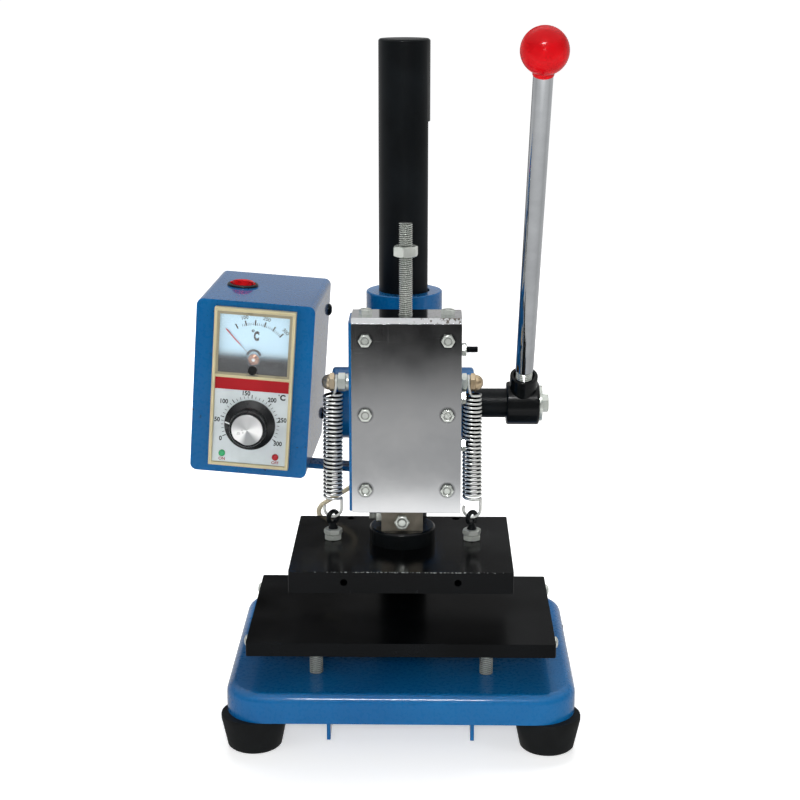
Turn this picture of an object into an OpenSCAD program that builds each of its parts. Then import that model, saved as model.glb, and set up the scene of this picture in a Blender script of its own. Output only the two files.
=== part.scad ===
// Bench hot foil stamping press. A hand lever turns a pinion, the pinion drives a square rack
// ram down, and the ram carries a heated plate towards a work plate on a round-column stand.
// Millimetres, +Z up. X = 0 is the machine's centre line, Y = 0 the ram's axis (the operator
// stands at -Y), Z = 0 the bench under the rubber feet.

/* [Base] */
// Width of the cast base
base_w = 206; // [190:1:230]
// Depth of the cast base
base_d = 174; // [168:1:200]
// Height of the cast base
base_h = 17.5; // [15:0.5:24]
// Distance from the ram's axis forward to the base's front edge
base_front = 81; // [76:1:90]
// Plan radius of the base's corners
base_corner_r = 24; // [18:1:28]
// Radius along the base's top edge
base_edge_r = 6; // [3:0.5:7]
// Thickness of the hollow base's skin
base_skin = 6; // [5:0.5:8]
// Height of a rubber foot
foot_h = 21; // [18:1:28]
// Diameter of a foot at its top
foot_top_d = 39; // [32:1:42]
// Diameter of a foot at its bottom
foot_bottom_d = 32; // [26:1:36]
// Sideways distance from the base's edge to a foot's axis
foot_inset_x = 16.5; // [12:0.5:20]
// Front-to-back distance from the base's edge to a foot's axis
foot_inset_y = 18; // [16:1:20]
// Sideways distance of each hanging tab from the centre line
tab_x = 42; // [36:1:50]
// Thickness of a hanging tab
tab_t = 2.3; // [2:0.1:4]
// Height of a tab's lower end above the bench
tab_ground = 8; // [5:1:12]

/* [Column] */
// Diameter of the column
column_d = 32; // [28:0.5:34]
// Length of the column
column_l = 366; // [350:1:420]
// Distance from the ram's axis back to the column's axis
column_y = 71; // [70:0.5:74]
// Depth of the flat milled along the column
flat_depth = 1.2; // [0.8:0.1:2]
// Bare round length above the flat
flat_from_top = 50; // [30:1:70]

/* [Work plate] */
// Width of the fixed work plate
platen_w = 181.5; // [170:0.5:188]
// Depth of the fixed work plate
platen_d = 115; // [105:1:118]
// Thickness of the fixed work plate
platen_t = 8.3; // [7.5:0.1:12]
// Distance from the ram's axis forward to the work plate's front edge
platen_front = 65; // [62:1:72]
// Open height between the base and the work plate
stud_gap = 17.9; // [12:0.1:24]
// Diameter of the work plate's studs
stud_d = 8; // [6:0.5:10]
// Sideways distance of the studs from the centre line
stud_x = 50.7; // [46:0.1:56]

/* [Heated plate and ram] */
// Open height between the work plate and the raised heated plate
work_gap = 28.7; // [28.5:0.1:34]
// Working stroke of the ram
stroke = 28.4; // [24:0.1:28.4]
// Width of the heated plate
plate_w = 131.5; // [124:0.5:140]
// Depth of the heated plate
plate_d = 104; // [100:1:108]
// Thickness of the heated plate
plate_t = 13; // [12:0.5:18]
// Distance from the ram's axis forward to the heated plate's front edge
plate_front = 58; // [56:1:60]
// Sideways distance of the heater bores from the centre line
heater_x = 33.3; // [31.5:0.1:36]
// Diameter of a cartridge heater
heater_d = 8; // [6:0.5:9]
// Diameter of the ram's round flange
flange_d = 40; // [38:1:46]
// Height of the ram's round flange
flange_h = 10; // [8:0.5:14]
// Side of the square ram
ram_side = 25; // [24:0.5:26]
// Bare length of the raised ram between its flange and the head
ram_show = 16; // [15:0.5:20]
// Diameter of the threaded depth-stop rod
stop_rod_d = 8; // [6:0.5:8]
// Height of the stop rod above the top cover
stop_rod_show = 54.5; // [50:0.5:60]
// Height of the raised stop nut above the top cover
stop_nut_rise = 34.8; // [34:0.1:40]

/* [Rack and pinion] */
// Tooth module of the rack and pinion
gear_module = 2; // [1.8:0.1:2.1]
// Number of teeth on the pinion
pinion_teeth = 18; // [17:1:18]
// Face width of the pinion
pinion_w = 24; // [20:0.5:24]
// Diameter of the lever shaft
shaft_d = 18; // [16:0.5:19]
// Height of the shaft's axis above the head's underside
shaft_h = 53.6; // [52:0.1:56]

/* [Head] */
// Height of the head casting
head_h = 112.6; // [111:0.1:120]
// Left side of the guide block from the centre line
head_left = 31.8; // [31.5:0.1:34]
// Right side of the guide block from the centre line
head_right = 35.2; // [34.6:0.1:35.4]
// How far the guide block and its front cover reach below the head's datum
head_skirt = 3.4; // [0:0.1:5]
// Thickness of the front cover
front_cover_t = 3.5; // [3:0.1:4.5]
// Thickness of the top cover
top_cover_t = 3.5; // [3:0.1:4.5]
// Outside diameter of the clamp tube round the column
clamp_d = 48; // [46:0.5:50]
// Outside diameter of the shaft bosses
boss_d = 44; // [40:0.5:44]
// Distance from the centre line to each boss's end face
boss_reach = 43.5; // [41:0.5:45]
// Thickness of the gib strip beside the ram
gib_t = 4; // [3:0.1:4.5]

/* [Lever] */
// Forward lean of the raised lever in degrees
lever_lean = 26; // [20:1:30]
// Outward lean of the lever in degrees
lever_out = 0.7; // [0:0.1:2]
// Distance from the shaft's axis to the ball's centre
lever_l = 244.5; // [220:0.5:250]
// Diameter of the lever rod
lever_rod_d = 11; // [10:0.5:12]
// Diameter of the ball
ball_d = 26.5; // [24:0.5:32]
// Diameter of the hub on the shaft
hub_d = 26.5; // [24:0.5:28]
// Length of the hub along the shaft
hub_l = 20.2; // [19:0.1:24]
// Distance from the centre line to the hub's inner face
hub_x = 63.4; // [60:0.1:68]
// Outside diameter of the lever's socket
socket_d = 17; // [16:0.5:18.5]
// Distance from the shaft's axis to the socket's mouth
socket_l = 22.5; // [22:0.5:26]

/* [Return springs] */
// Wire diameter of a spring
wire_d = 1.6; // [1.2:0.1:1.7]
// Outside diameter of a spring
spring_d = 12; // [10:0.1:12.4]
// Curls in one spring
spring_curls = 26; // [20:1:27]
// Sideways distance of the top hooks from the centre line
hook_x = 39.6; // [39.4:0.1:40.5]
// Height of the top anchors above the head's underside
anchor_h = 73.6; // [72:0.1:76]
// Sideways distance of the eye bolts from the centre line
eye_x = 42.5; // [42:0.1:44]
// Height of the eyes' centres above the heated plate
eye_h = 13.9; // [13.5:0.1:16]

/* [Control box] */
// Width of the control box
box_w = 70; // [66:0.5:76]
// Height of the control box
box_h = 105; // [101:0.5:110]
// Depth of the control box
box_d = 91; // [84:1:94]
// Sheet thickness of the control box
box_skin = 1.5; // [1.2:0.1:2]
// Distance from the centre line left to the middle of the box's front
box_x = 89; // [87:0.5:94]
// Distance from the ram's axis forward to the box's front
box_front = 14; // [12:0.5:18]
// Height of the middle of the box's front above the head's underside
box_rise = 72.3; // [71:0.1:78]
// Sideways lean of the box on its bracket in degrees
box_roll = 4; // [3:0.5:5]
// Turn of the box on its bracket in degrees
box_yaw = 2.6; // [1:0.1:4]
// Thickness of the bracket bar under the box
bracket_t = 3; // [2.5:0.5:6]
// Width of the controller's bezel
bezel_w = 48; // [46:0.5:50]
// Blue margin left above and below the controller's bezel, both together
bezel_margin = 9; // [6:0.5:12]
// How far the bezel stands out of the box
bezel_depth = 5; // [4.5:0.1:6]
// Diameter of the temperature knob's skirt
knob_d = 30.5; // [26:0.5:31]
// Diameter of the round rocker switch's bezel
switch_d = 21; // [20:0.5:22]

/* [Clearances] */
// Radial running clearance of shafts and of the column
run_gap = 0.05; // [0.02:0.01:0.1]
// Clearance of parts that are fitted and stay still
fit_gap = 0.05; // [0.02:0.01:0.1]
// Sliding clearance on each face of the ram
slide_gap = 0.15; // [0.1:0.01:0.3]

/* [Hidden] */
$fn = 48;

// Heights, from the bench up
base_top = foot_h + base_h;
skin_z = base_top - base_skin;
platen_z = base_top + stud_gap;
platen_top = platen_z + platen_t;
plate_z = platen_top + work_gap;
plate_top = plate_z + plate_t;
flange_top = plate_top + flange_h;
head_z = flange_top + ram_show;
head_top = head_z + head_h;
cover_top = head_top + top_cover_t;
shaft_z = head_z + shaft_h;
column_top = base_top + column_l;
anchor_z = head_z + anchor_h;
eye_z = plate_top + eye_h;

// Plan places
base_back = base_d - base_front;
base_mid_y = base_d / 2 - base_front;
foot_x = base_w / 2 - foot_inset_x;
foot_front = -base_front + foot_inset_y;
foot_back = base_back - foot_inset_y;
foot_places = [for (x = [-foot_x, foot_x], y = [foot_front, foot_back]) [x, y]];
platen_mid_y = platen_d / 2 - platen_front;
platen_back = platen_d - platen_front;
stud_in = 20;
stud_places = [for (x = [-stud_x, stud_x], y = [stud_in - platen_front, platen_back - stud_in]) [x, y]];
plate_mid_y = plate_d / 2 - plate_front;
plate_back = plate_d - plate_front;
heater_z = plate_z + plate_t / 2;

// Rack and pinion: the rack is cut into the ram's rear face
gear_pitch = PI * gear_module;
pitch_r = gear_module * pinion_teeth / 2;
pinion_tip_r = pitch_r + gear_module;
rack_line_y = ram_side / 2 - gear_module;
shaft_y = rack_line_y + pitch_r;
pressure_angle = 20;
backlash = 0.2;
ram_stop_gap = 0.3;
ram_top = head_top - ram_stop_gap;

// Head casting
block_z = head_z - head_skirt;
guide_front = ram_side / 2 + slide_gap;
cover_face = guide_front + front_cover_t;
guide_back = ram_side / 2 + 4;
cover_left = head_left - 1.8;
cover_mid_x = (head_right - cover_left) / 2;
cover_bolt_x = 24.4;
cover_bolt_z = [head_z + 11, head_z + 57.5, head_z + head_h - 10];
top_cover_back = 9.6;
top_screw_y = -3;
slot_right = ram_side / 2 + 2 * slide_gap + gib_t;
case_half_w = 27;
case_r = pinion_tip_r + 7;
case_foot = 24;
clamp_z = head_z + 6;
lug_l = 16;
lug_half_w = 14;
clamp_slit = 2.5;
clamp_bolt_y = column_y + clamp_d / 2 + lug_l / 2;
clamp_bolt_z = [head_z + 38, head_z + 84];
bush_wall = 3;
bush_in = pinion_w / 2 + 1.5;
stop_rod_x = 2;
stop_rod_y = -6;

// Fasteners: thread diameter, width across flats and head or nut height
m4 = [4, 7, 2.8];
m5 = [5, 8, 3.5];
m6 = [6, 10, 4];
m8 = [8, 13, 5.3];
m12 = [12, 18, 7.5];
gib_y = -10;
gib_z = [head_z + 96.1, head_z + 66.9, head_z + 37.6];
gib_tail = [9.5, 1.5, 1.5];
anchor_y = -0.4;
anchor_nut_h = 3.4;
anchor_nut_x = hook_x - wire_d / 2 - fit_gap;
eye_y = 1.6;
eye_ring_r = 3.6;
eye_wire_d = 2.8;
eye_turn = 45;
eye_nut_h = 3.4;
washer_t = 1.6;

// Control box, in its own frame: x right, y into the box, z up from the middle of its front
box_place = [-box_x, -box_front, head_z + box_rise];
bracket_y = [32, 45];
bracket_screw_x = [-16, 10];
pad_z = box_place[2] - (box_x - head_left) * tan(box_roll) - box_h / 2 / cos(box_roll);
pad_y = [guide_back + 1.5, guide_back + 23.5];
web_z = max(head_z + 18, pad_z);
pad_right = 6;
pad_bolt_x = [-27, -13];
side_screw_z = [-34, 34];
side_screw_in = 7;
grommet_at = [24, 68];
grommet_d = 9;
panel_off = [0.4, 1];
switch_at = [-15, 47.5];
bezel_h = box_h - bezel_margin;
frame_lip = 2;
panel_w = bezel_w - 2 * frame_lip;
panel_h = bezel_h - 2 * frame_lip;
core_w = panel_w - 2 * fit_gap;
core_h = panel_h - 2 * fit_gap;
core_d = switch_at[1] - switch_d / 2 - 1;
band_bottom = -1.2;
band_h = 7.4;
bar_h = 1.8;
meter_bottom = band_bottom + band_h + bar_h;
meter_h = panel_h / 2 - meter_bottom;
shroud_h = 13;
pivot_at = [0, meter_bottom + 9.6];
adjuster_at = [0, meter_bottom + 3.5];
needle_l = 24.5;
needle_angle = 45;
pivot_d = 1.6;
dial_face_y = -bezel_depth + 1.5;
dial_t = 1.5;
dial_back_y = dial_face_y + dial_t;
meter_face_y = -1;
window_y = -bezel_depth + 0.4;
window_t = 1.2;
knob_at = [0, 1.3 - panel_h / 4];
knob_spindle_d = 6;
lamp_in = [6, 5.4];
lamp_at = [for (s = [-1, 1]) [s * (panel_w / 2 - lamp_in[0]), lamp_in[1] - panel_h / 2]];
lamp_d = 4;
switch_body_d = switch_d - 2;
rocker_r = switch_d / 2 - 2.6;
rocker_pin_d = 2;
rocker_tilt = 8;
rocker_lift = 1.4;

// The grommet's place under the leaning, turned box
grommet_lean = [grommet_at[0] * cos(box_roll) - box_h / 2 * sin(box_roll),
    grommet_at[1], -grommet_at[0] * sin(box_roll) - box_h / 2 * cos(box_roll)];
grommet_place = box_place + [grommet_lean[0] * cos(box_yaw) + grommet_lean[1] * sin(box_yaw),
    grommet_lean[1] * cos(box_yaw) - grommet_lean[0] * sin(box_yaw), grommet_lean[2]];

// Heater lead: route from the left heater's tail to the grommet under the box
lead_d = 3;
heater_tail = 6;
probe_x = 8 - heater_x;
probe_d = 4;
probe_l = 36;
lead_from = [-heater_x, plate_back + heater_tail + fit_gap, heater_z];
lead_run = [
    [0, 0, 0], [0, 1.2, 0], [-1.5, 4.4, -1], [-6.7, 8, -1.9], [-14.7, 9, -1.4], [-20.7, 8, 2.1], [-21.7, 6.5, 7.1],
    [-16.7, 6, 11.1], [-10.7, 6, 15.1], [-6.7, 6.5, 21.1], [-5.2, 7, 29.1], [-7.7, 7, 36.1], [-13.7, 5.5, 41.1],
    [-21.7, 3.5, 43.1], [-28.7, 1.7, 44.6]];
lead_points = concat([for (p = lead_run) lead_from + p],
    [for (z = [-4, 0, 5]) grommet_place + [0, 0, z]]);

paint = "#1b67a8";
black = "#1d2023";
zinc = "#c9ccc8";
steel = "#aeb0b2";
brass = "#c9a55a";

// Placing helpers: the child's +Z is turned to the named direction at a place
module to_right(place) translate(place) rotate([0, 90, 0]) children();
module to_left(place) translate(place) rotate([0, -90, 0]) children();
module to_front(place) translate(place) rotate([90, 0, 0]) children();
module to_back(place) translate(place) rotate([-90, 0, 0]) children();
module to_down(place) translate(place) rotate([180, 0, 0]) children();
module in_box() translate(box_place) rotate([0, box_roll, -box_yaw]) children();
module in_lever() translate([hub_x + hub_l / 2, shaft_y, shaft_z]) rotate([lever_lean, lever_out, 0]) children();

// Rectangle with round corners, centred
module round_rect(w, d, r) {
    square([w - 2 * r, d], center = true);
    square([w, d - 2 * r], center = true);
    for (x = [-1, 1], y = [-1, 1]) translate([x * (w / 2 - r), y * (d / 2 - r)]) circle(r);
}

// Disc whose far edge is rounded
module soft_disc(d, h, r) rotate_extrude() {
    square([d / 2 - r, h]);
    square([d / 2, h - r]);
    translate([d / 2 - r, h - r]) intersection() {
        circle(r);
        square(r);
    }
}

module hex(flats, h) cylinder(d = flats / cos(30), h = h, $fn = 6);

// Hex bolt standing on its seat: head above, shank below
module hex_bolt(size, shank) {
    hex(size[1], size[2]);
    translate([0, 0, -shank]) cylinder(d = size[0], h = shank + 0.1);
}

// Domed screw standing on its seat
module dome_screw(d, head_d, head_h, shank) {
    intersection() {
        translate([0, 0, head_h - head_d * 0.8]) sphere(head_d * 0.8);
        cylinder(d = head_d, h = head_h);
    }
    translate([0, 0, -shank]) cylinder(d = d, h = shank + 0.1);
}

module hole(d, h) translate([0, 0, -0.01]) cylinder(d = d + 2 * fit_gap, h = h + 0.02);

module ring(outer, inner, h) difference() {
    cylinder(d = outer, h = h);
    translate([0, 0, -1]) cylinder(d = inner + 2 * fit_gap, h = h + 2);
}

// Swept tube: rings of equal sides carried along a list of points without twist
function unit(v) = v / norm(v);
function path_dir(p, i) = unit(p[min(i + 1, len(p) - 1)] - p[max(i - 1, 0)]);
function square_to(n, t) = unit(n - (n * t) * t);
function path_normals(p, first) = [
    for (i = 0, n = square_to(first, path_dir(p, 0)); i < len(p);
        i = i + 1, n = i < len(p) ? square_to(n, path_dir(p, i)) : n) n];

module tube(p, d, sides, first) {
    n = path_normals(p, first);
    rings = [for (i = [0 : len(p) - 1]) let (b = cross(path_dir(p, i), n[i]))
        for (k = [0 : sides - 1]) let (a = 360 * k / sides)
            p[i] + d / 2 * (cos(a) * n[i] + sin(a) * b)];
    walls = [for (i = [0 : len(p) - 2], k = [0 : sides - 1])
        let (a = i * sides + k, b = i * sides + (k + 1) % sides)
            each [[a, a + sides, b], [b, a + sides, b + sides]]];
    last = (len(p) - 1) * sides;
    caps = [for (k = [1 : sides - 2]) each [[0, k, k + 1], [last, last + k + 1, last + k]]];
    polyhedron(rings, concat(walls, caps), convexity = 10);
}

// Base, feet and column

module base_outline(inset) translate([0, base_mid_y])
    round_rect(base_w - 2 * inset, base_d - 2 * inset, base_corner_r - inset);

module base_pan() color(paint) difference() {
    union() {
        difference() {
            hull() for (x = [-1, 1], y = [-1, 1])
                translate([x * (base_w / 2 - base_corner_r),
                    base_mid_y + y * (base_d / 2 - base_corner_r), foot_h])
                    soft_disc(2 * base_corner_r, base_h, base_edge_r, $fn = 32);
            translate([0, 0, foot_h - 1]) linear_extrude(base_h - base_skin + 1) base_outline(base_skin);
        }
        translate([0, column_y, foot_h]) cylinder(d = column_d + 8, h = base_h - 1);
        intersection() {
            for (p = foot_places) translate([p[0], p[1], foot_h]) cylinder(d = 16, h = base_h - 1);
            translate([0, 0, foot_h]) linear_extrude(base_h) base_outline(1);
        }
    }
    translate([0, column_y, foot_h]) hole(m12[0], base_h);
    for (p = foot_places) translate([p[0], p[1], foot_h]) hole(m5[0], base_h - base_edge_r);
    for (p = stud_places) translate([p[0], p[1], skin_z]) hole(stud_d, base_skin);
}

module base_tabs() color(paint) for (s = [-1, 1])
    translate([s * tab_x - tab_t / 2, -base_front + base_skin + 0.5, tab_ground]) {
        cube([tab_t, 22, skin_z - tab_ground - 6]);
        translate([0, 6, 0]) cube([tab_t, 16, skin_z - tab_ground]);
    }

module rubber_feet() color(black) for (p = foot_places) translate([p[0], p[1], 0]) difference() {
    rotate_extrude() {
        polygon([[0, 0], [foot_bottom_d / 2 - 1.5, 0], [foot_bottom_d / 2, 1.5],
            [foot_top_d / 2, foot_h - 3], [foot_top_d / 2, foot_h], [0, foot_h]]);
    }
    hole(m5[0], foot_h);
    translate([0, 0, -1]) cylinder(d = 15, h = foot_h / 2 + 1);
}

module foot_screws() color(zinc) for (p = foot_places) to_down([p[0], p[1], foot_h / 2]) {
    cylinder(d = 13, h = washer_t);
    translate([0, 0, washer_t]) dome_screw(m5[0], 9, 3, washer_t + foot_h / 2 + base_h - base_edge_r - 3);
}

module column() color(black) difference() {
    union() {
        translate([0, column_y, base_top]) cylinder(d = column_d, h = column_l - 1);
        translate([0, column_y, column_top - 1]) cylinder(d1 = column_d, d2 = column_d - 2, h = 1);
    }
    translate([column_d / 2 - flat_depth, column_y - column_d, base_top + 20])
        cube([column_d, 2 * column_d, column_l - flat_from_top - 20]);
    translate([0, column_y, base_top]) hole(m12[0], 32);
}

module column_bolt() color(zinc) to_down([0, column_y, foot_h]) {
    ring(28, m12[0], 2.5);
    translate([0, 0, 2.5]) hex_bolt(m12, 2.5 + base_h + 28);
}

// Fixed work plate

module platen() color(black) difference() {
    translate([0, platen_mid_y, platen_z]) linear_extrude(platen_t) round_rect(platen_w, platen_d, 1.2);
    for (p = stud_places) translate([p[0], p[1], platen_z]) hole(stud_d, platen_t * 0.6);
    platen_screw_places() hole(m4[0], 9, $fn = 24);
}

module platen_screw_places() for (y = [14 - platen_front, platen_back - 14]) {
    to_left([platen_w / 2, y, platen_z + platen_t / 2]) children();
    to_right([-platen_w / 2, y, platen_z + platen_t / 2]) children();
}

module platen_screws() color(zinc) platen_screw_places() rotate([180, 0, 0]) dome_screw(m4[0], 7, 2.2, 8);

// Studs with the nuts that hold them under the base's skin
module platen_studs() color(zinc) for (p = stud_places) translate([p[0], p[1], skin_z]) {
    translate([0, 0, -8]) cylinder(d = stud_d, h = 8 + base_skin + stud_gap + platen_t * 0.6);
    translate([0, 0, -6]) difference() {
        hex(stud_d * 1.625, 6);
        translate([0, 0, -1]) cylinder(d = stud_d + 2 * fit_gap, h = 8);
    }
}

// Head: guide block, gear case, shaft bosses and the split clamp tube, one casting

module cover_bolt_places() for (s = [-1, 1], z = cover_bolt_z)
    to_front([cover_mid_x + s * cover_bolt_x, -cover_face, z]) children();

module top_screw_places() for (s = [-1, 1])
    translate([cover_mid_x + s * cover_bolt_x, top_screw_y, cover_top]) children();

module head_casting() color(paint) difference() {
    union() {
        translate([(head_right - head_left) / 2, (guide_back - guide_front) / 2, block_z])
            linear_extrude(head_top - block_z) round_rect(head_left + head_right, guide_back + guide_front, 1);
        to_right([-case_half_w, shaft_y, shaft_z]) cylinder(r = case_r, h = 2 * case_half_w);
        translate([-case_half_w, guide_back - 1, head_z + case_foot])
            cube([2 * case_half_w, shaft_y + 16 - guide_back, shaft_h - case_foot]);
        for (s = [0, 1]) mirror([s, 0, 0]) to_right([0, shaft_y, shaft_z]) soft_disc(boss_d, boss_reach, 2);
        translate([0, column_y, clamp_z]) soft_disc(clamp_d, cover_top - clamp_z, 1);
        translate([-lug_half_w, shaft_y, web_z])
            cube([2 * lug_half_w, column_y - shaft_y, head_top - 20 - web_z]);
        translate([-head_left, guide_back - 1, pad_z])
            cube([head_left - pad_right, pad_y[1] - guide_back + 1, shaft_z - boss_d / 2 - pad_z + 3]);
        to_right([-lug_half_w, 0, 0]) linear_extrude(2 * lug_half_w)
            polygon([for (p = [[column_y, 18], [column_y + clamp_d / 2 + lug_l - 5, 22],
                [column_y + clamp_d / 2 + lug_l, 27], [column_y + clamp_d / 2 + lug_l, 94],
                [column_y + clamp_d / 2 + lug_l - 5, 99], [column_y, 103]])
                [-(head_z + p[1]), p[0]]]);
    }
    // Ram slot, open to the front and closed by the cover
    translate([-ram_side / 2 - slide_gap, -guide_front - 1, block_z - 1])
        cube([slot_right + ram_side / 2 + slide_gap, ram_side + 2 * slide_gap + 1, head_top - block_z + 2]);
    to_right([-ram_side / 2 - slide_gap, shaft_y, shaft_z])
        cylinder(r = pinion_tip_r + 0.75, h = ram_side + 2 * slide_gap);
    to_right([-boss_reach - 1, shaft_y, shaft_z])
        cylinder(d = shaft_d + 2 * bush_wall + 2 * fit_gap, h = 2 * boss_reach + 2);
    // Column bore, slit and clamp bolts
    translate([0, column_y, clamp_z - 1]) cylinder(d = column_d + 2 * run_gap, h = cover_top);
    translate([-clamp_slit / 2, column_y, clamp_z - 20]) cube([clamp_slit, clamp_d, cover_top]);
    for (z = clamp_bolt_z) to_right([-lug_half_w - 1, clamp_bolt_y, z]) hole(m8[0], 2 * lug_half_w + 2);
    // Tapped holes
    cover_bolt_places() rotate([180, 0, 0]) hole(m4[0], front_cover_t + 12, $fn = 24);
    top_screw_places() rotate([180, 0, 0]) hole(m4[0], top_cover_t + 10, $fn = 24);
    for (z = gib_z) to_right([0, gib_y, z]) hole(m4[0], head_right + 1, $fn = 24);
    to_right([head_right - 10, anchor_y, anchor_z]) hole(m6[0], 12);
    to_left([-head_left + 10, anchor_y, anchor_z]) hole(m6[0], 12);
    pad_bolt_places() rotate([180, 0, 0]) hole(m5[0], bracket_t + 11);
}

module front_cover() color(steel) difference() {
    translate([-cover_left, -cover_face, block_z])
        cube([cover_left + head_right, front_cover_t, head_top - block_z]);
    cover_bolt_places() rotate([180, 0, 0]) hole(m4[0], front_cover_t + 1, $fn = 24);
}

module top_cover() color(steel) difference() {
    translate([-cover_left, -cover_face, head_top])
        cube([cover_left + head_right, cover_face + top_cover_back, top_cover_t]);
    top_screw_places() rotate([180, 0, 0]) hole(m4[0], top_cover_t + 1, $fn = 24);
    translate([stop_rod_x, stop_rod_y, head_top - 1]) cylinder(d = stop_rod_d + 1.6, h = top_cover_t + 2);
}

module cover_bolts() color(zinc) {
    cover_bolt_places() hex_bolt(m4, front_cover_t + 10);
    top_screw_places() hex_bolt(m4, top_cover_t + 8);
}

module clamp_bolts() color(zinc) for (z = clamp_bolt_z) {
    to_right([lug_half_w, clamp_bolt_y, z]) {
        ring(16, m8[0], washer_t);
        translate([0, 0, washer_t]) hex_bolt(m8, 2 * lug_half_w + 12);
    }
    to_left([-lug_half_w, clamp_bolt_y, z]) difference() {
        hex(m8[1], 6.5);
        translate([0, 0, -1]) cylinder(d = m8[0] + 2 * fit_gap, h = 9);
    }
}

module gib_strip() color(brass) translate([ram_side / 2 + slide_gap, -ram_side / 2 + 1, head_z + 1])
    cube([gib_t, ram_side - gear_module * 2.25 - 2, head_h - 2]);

module gib_screws() color(black) for (i = [0 : 2]) {
    first = ram_side / 2 + slide_gap + gib_t;
    to_right([first, gib_y, gib_z[i]]) cylinder(d = m4[0], h = head_right - first + m4[2] + gib_tail[i], $fn = 24);
}

module gib_lock_nuts() color(zinc) for (z = gib_z) to_right([head_right, gib_y, z]) difference() {
    rotate(30) hex(m4[1], m4[2]);
    translate([0, 0, -1]) cylinder(d = m4[0] + 2 * fit_gap, h = m4[2] + 2, $fn = 24);
}

module shaft_bushes() color(brass) for (s = [0, 1]) mirror([s, 0, 0]) to_right([bush_in, shaft_y, shaft_z])
    difference() {
        cylinder(d = shaft_d + 2 * bush_wall, h = boss_reach - bush_in);
        translate([0, 0, -1]) cylinder(d = shaft_d + 2 * run_gap, h = boss_reach);
    }

// Spring anchors in the head's sides

module spring_anchors() color(zinc) {
    stud_end = anchor_nut_x + wire_d + 6;
    to_right([head_right - 9, anchor_y, anchor_z]) cylinder(d = m6[0], h = stud_end - head_right + 9);
    to_left([9 - head_left, anchor_y, anchor_z]) cylinder(d = m6[0], h = stud_end - head_left + 9);
    for (s = [0, 1]) mirror([s, 0, 0]) to_right([anchor_nut_x - anchor_nut_h, anchor_y, anchor_z])
        difference() {
            hex(m6[1], anchor_nut_h);
            translate([0, 0, -1]) cylinder(d = m6[0] + 2 * fit_gap, h = anchor_nut_h + 2);
        }
    to_left([-head_left, anchor_y, anchor_z]) ring(12, m6[0], anchor_nut_x - anchor_nut_h - head_left);
}

module spring_cap_nuts() color(brass) for (s = [0, 1]) mirror([s, 0, 0])
    to_right([hook_x + wire_d / 2 + 2 * fit_gap, anchor_y, anchor_z]) difference() {
        union() {
            hex(m6[1], 3.4);
            translate([0, 0, 3.3]) intersection() {
                sphere(d = m6[1] - 0.6);
                cylinder(d = m6[1], h = m6[1]);
            }
        }
        translate([0, 0, -1]) cylinder(d = m6[0] + 2 * fit_gap, h = 7.2);
    }

// Return springs: hook over the stud, curls down to the eye bolt, open hook through the eye

spring_r = (spring_d - wire_d) / 2;
coil_x = max(head_left, head_right) + spring_d / 2 + 0.5;
hook_r = m6[0] / 2 + wire_d / 2 + 0.15;
eye_hole_r = eye_ring_r - eye_wire_d / 2;
hook_slack = 1;
hook_leg = 7;
curl_top_z = anchor_z - 7;
hook_low_z = eye_z + eye_hole_r - wire_d / 2 - hook_slack;
hook_mid_z = hook_low_z + spring_r;
curl_low_z = hook_mid_z + hook_leg;
curl_span = spring_curls + 0.25;
curl_steps = 8 * spring_curls + 2;

function spring_path(s) = let (
    top = [s * coil_x, anchor_y, curl_top_z],
    low = [s * eye_x, eye_y, curl_low_z],
    over_stud = [for (a = [-50 : 25 : 200]) [s * hook_x, anchor_y + hook_r * cos(a), anchor_z + hook_r * sin(a)]],
    lead_in = [[s * (0.6 * hook_x + 0.4 * coil_x), anchor_y - spring_r * 0.9, curl_top_z + 1.6]],
    curls = [for (i = [0 : curl_steps]) let (t = i / curl_steps, a = 270 + 360 * curl_span * t)
        top + (low - top) * t + spring_r * [cos(a), sin(a), 0]],
    low_hook = [for (a = [0 : 22.5 : 202.5])
        [low[0] + spring_r * cos(a), low[1], hook_mid_z - spring_r * sin(a)]])
    concat(over_stud, lead_in, curls, low_hook);

// Least gap of a spring to itself: points more than half a curl apart
function self_gap(p, apart) = min([for (i = [0 : len(p) - 1 - apart], j = [i + apart : min(i + 3 * apart, len(p) - 1)])
    norm(p[i] - p[j])]) - wire_d;

module return_spring(s) color(zinc) {
    path = spring_path(s);
    echo(least_gap_of_spring_to_itself_mm = self_gap(path, 5));
    tube(path, wire_d, 6, [1, 0, 0]);
}

module return_spring_left() return_spring(-1);

module return_spring_right() return_spring(1);

// Ram: square rack bar, stop rod, flange, heated plate and eye bolts

spigot_l = 8;
rack_first = -3;
rack_last = ceil(stroke / gear_pitch) + 2;
gap_half = gear_pitch / 4 + backlash / 2;
lean = tan(pressure_angle);

module rack_gap() polygon([
    [rack_line_y - 1.25 * gear_module, -gap_half + 1.25 * gear_module * lean],
    [rack_line_y + 1.5 * gear_module, -gap_half - 1.5 * gear_module * lean],
    [rack_line_y + 1.5 * gear_module, gap_half + 1.5 * gear_module * lean],
    [rack_line_y - 1.25 * gear_module, gap_half - 1.25 * gear_module * lean]]);

module ram_bar() color("#8d867c") difference() {
    translate([-ram_side / 2, -ram_side / 2, flange_top]) cube([ram_side, ram_side, ram_top - flange_top]);
    for (i = [rack_first : rack_last]) translate([-ram_side, 0, shaft_z + (i + 0.5) * gear_pitch])
        rotate([90, 0, 90]) linear_extrude(2 * ram_side) rack_gap();
    translate([0, 0, flange_top]) hole(16, 14);
    translate([stop_rod_x, stop_rod_y, ram_top - 15]) hole(stop_rod_d, 15);
    ram_bolt_places() rotate([180, 0, 0]) hole(m5[0], 9);
}

module ram_bolt_places() {
    to_front([0, -ram_side / 2, flange_top + 6]) children();
    to_left([-ram_side / 2, 0, flange_top + 6]) children();
}

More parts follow.
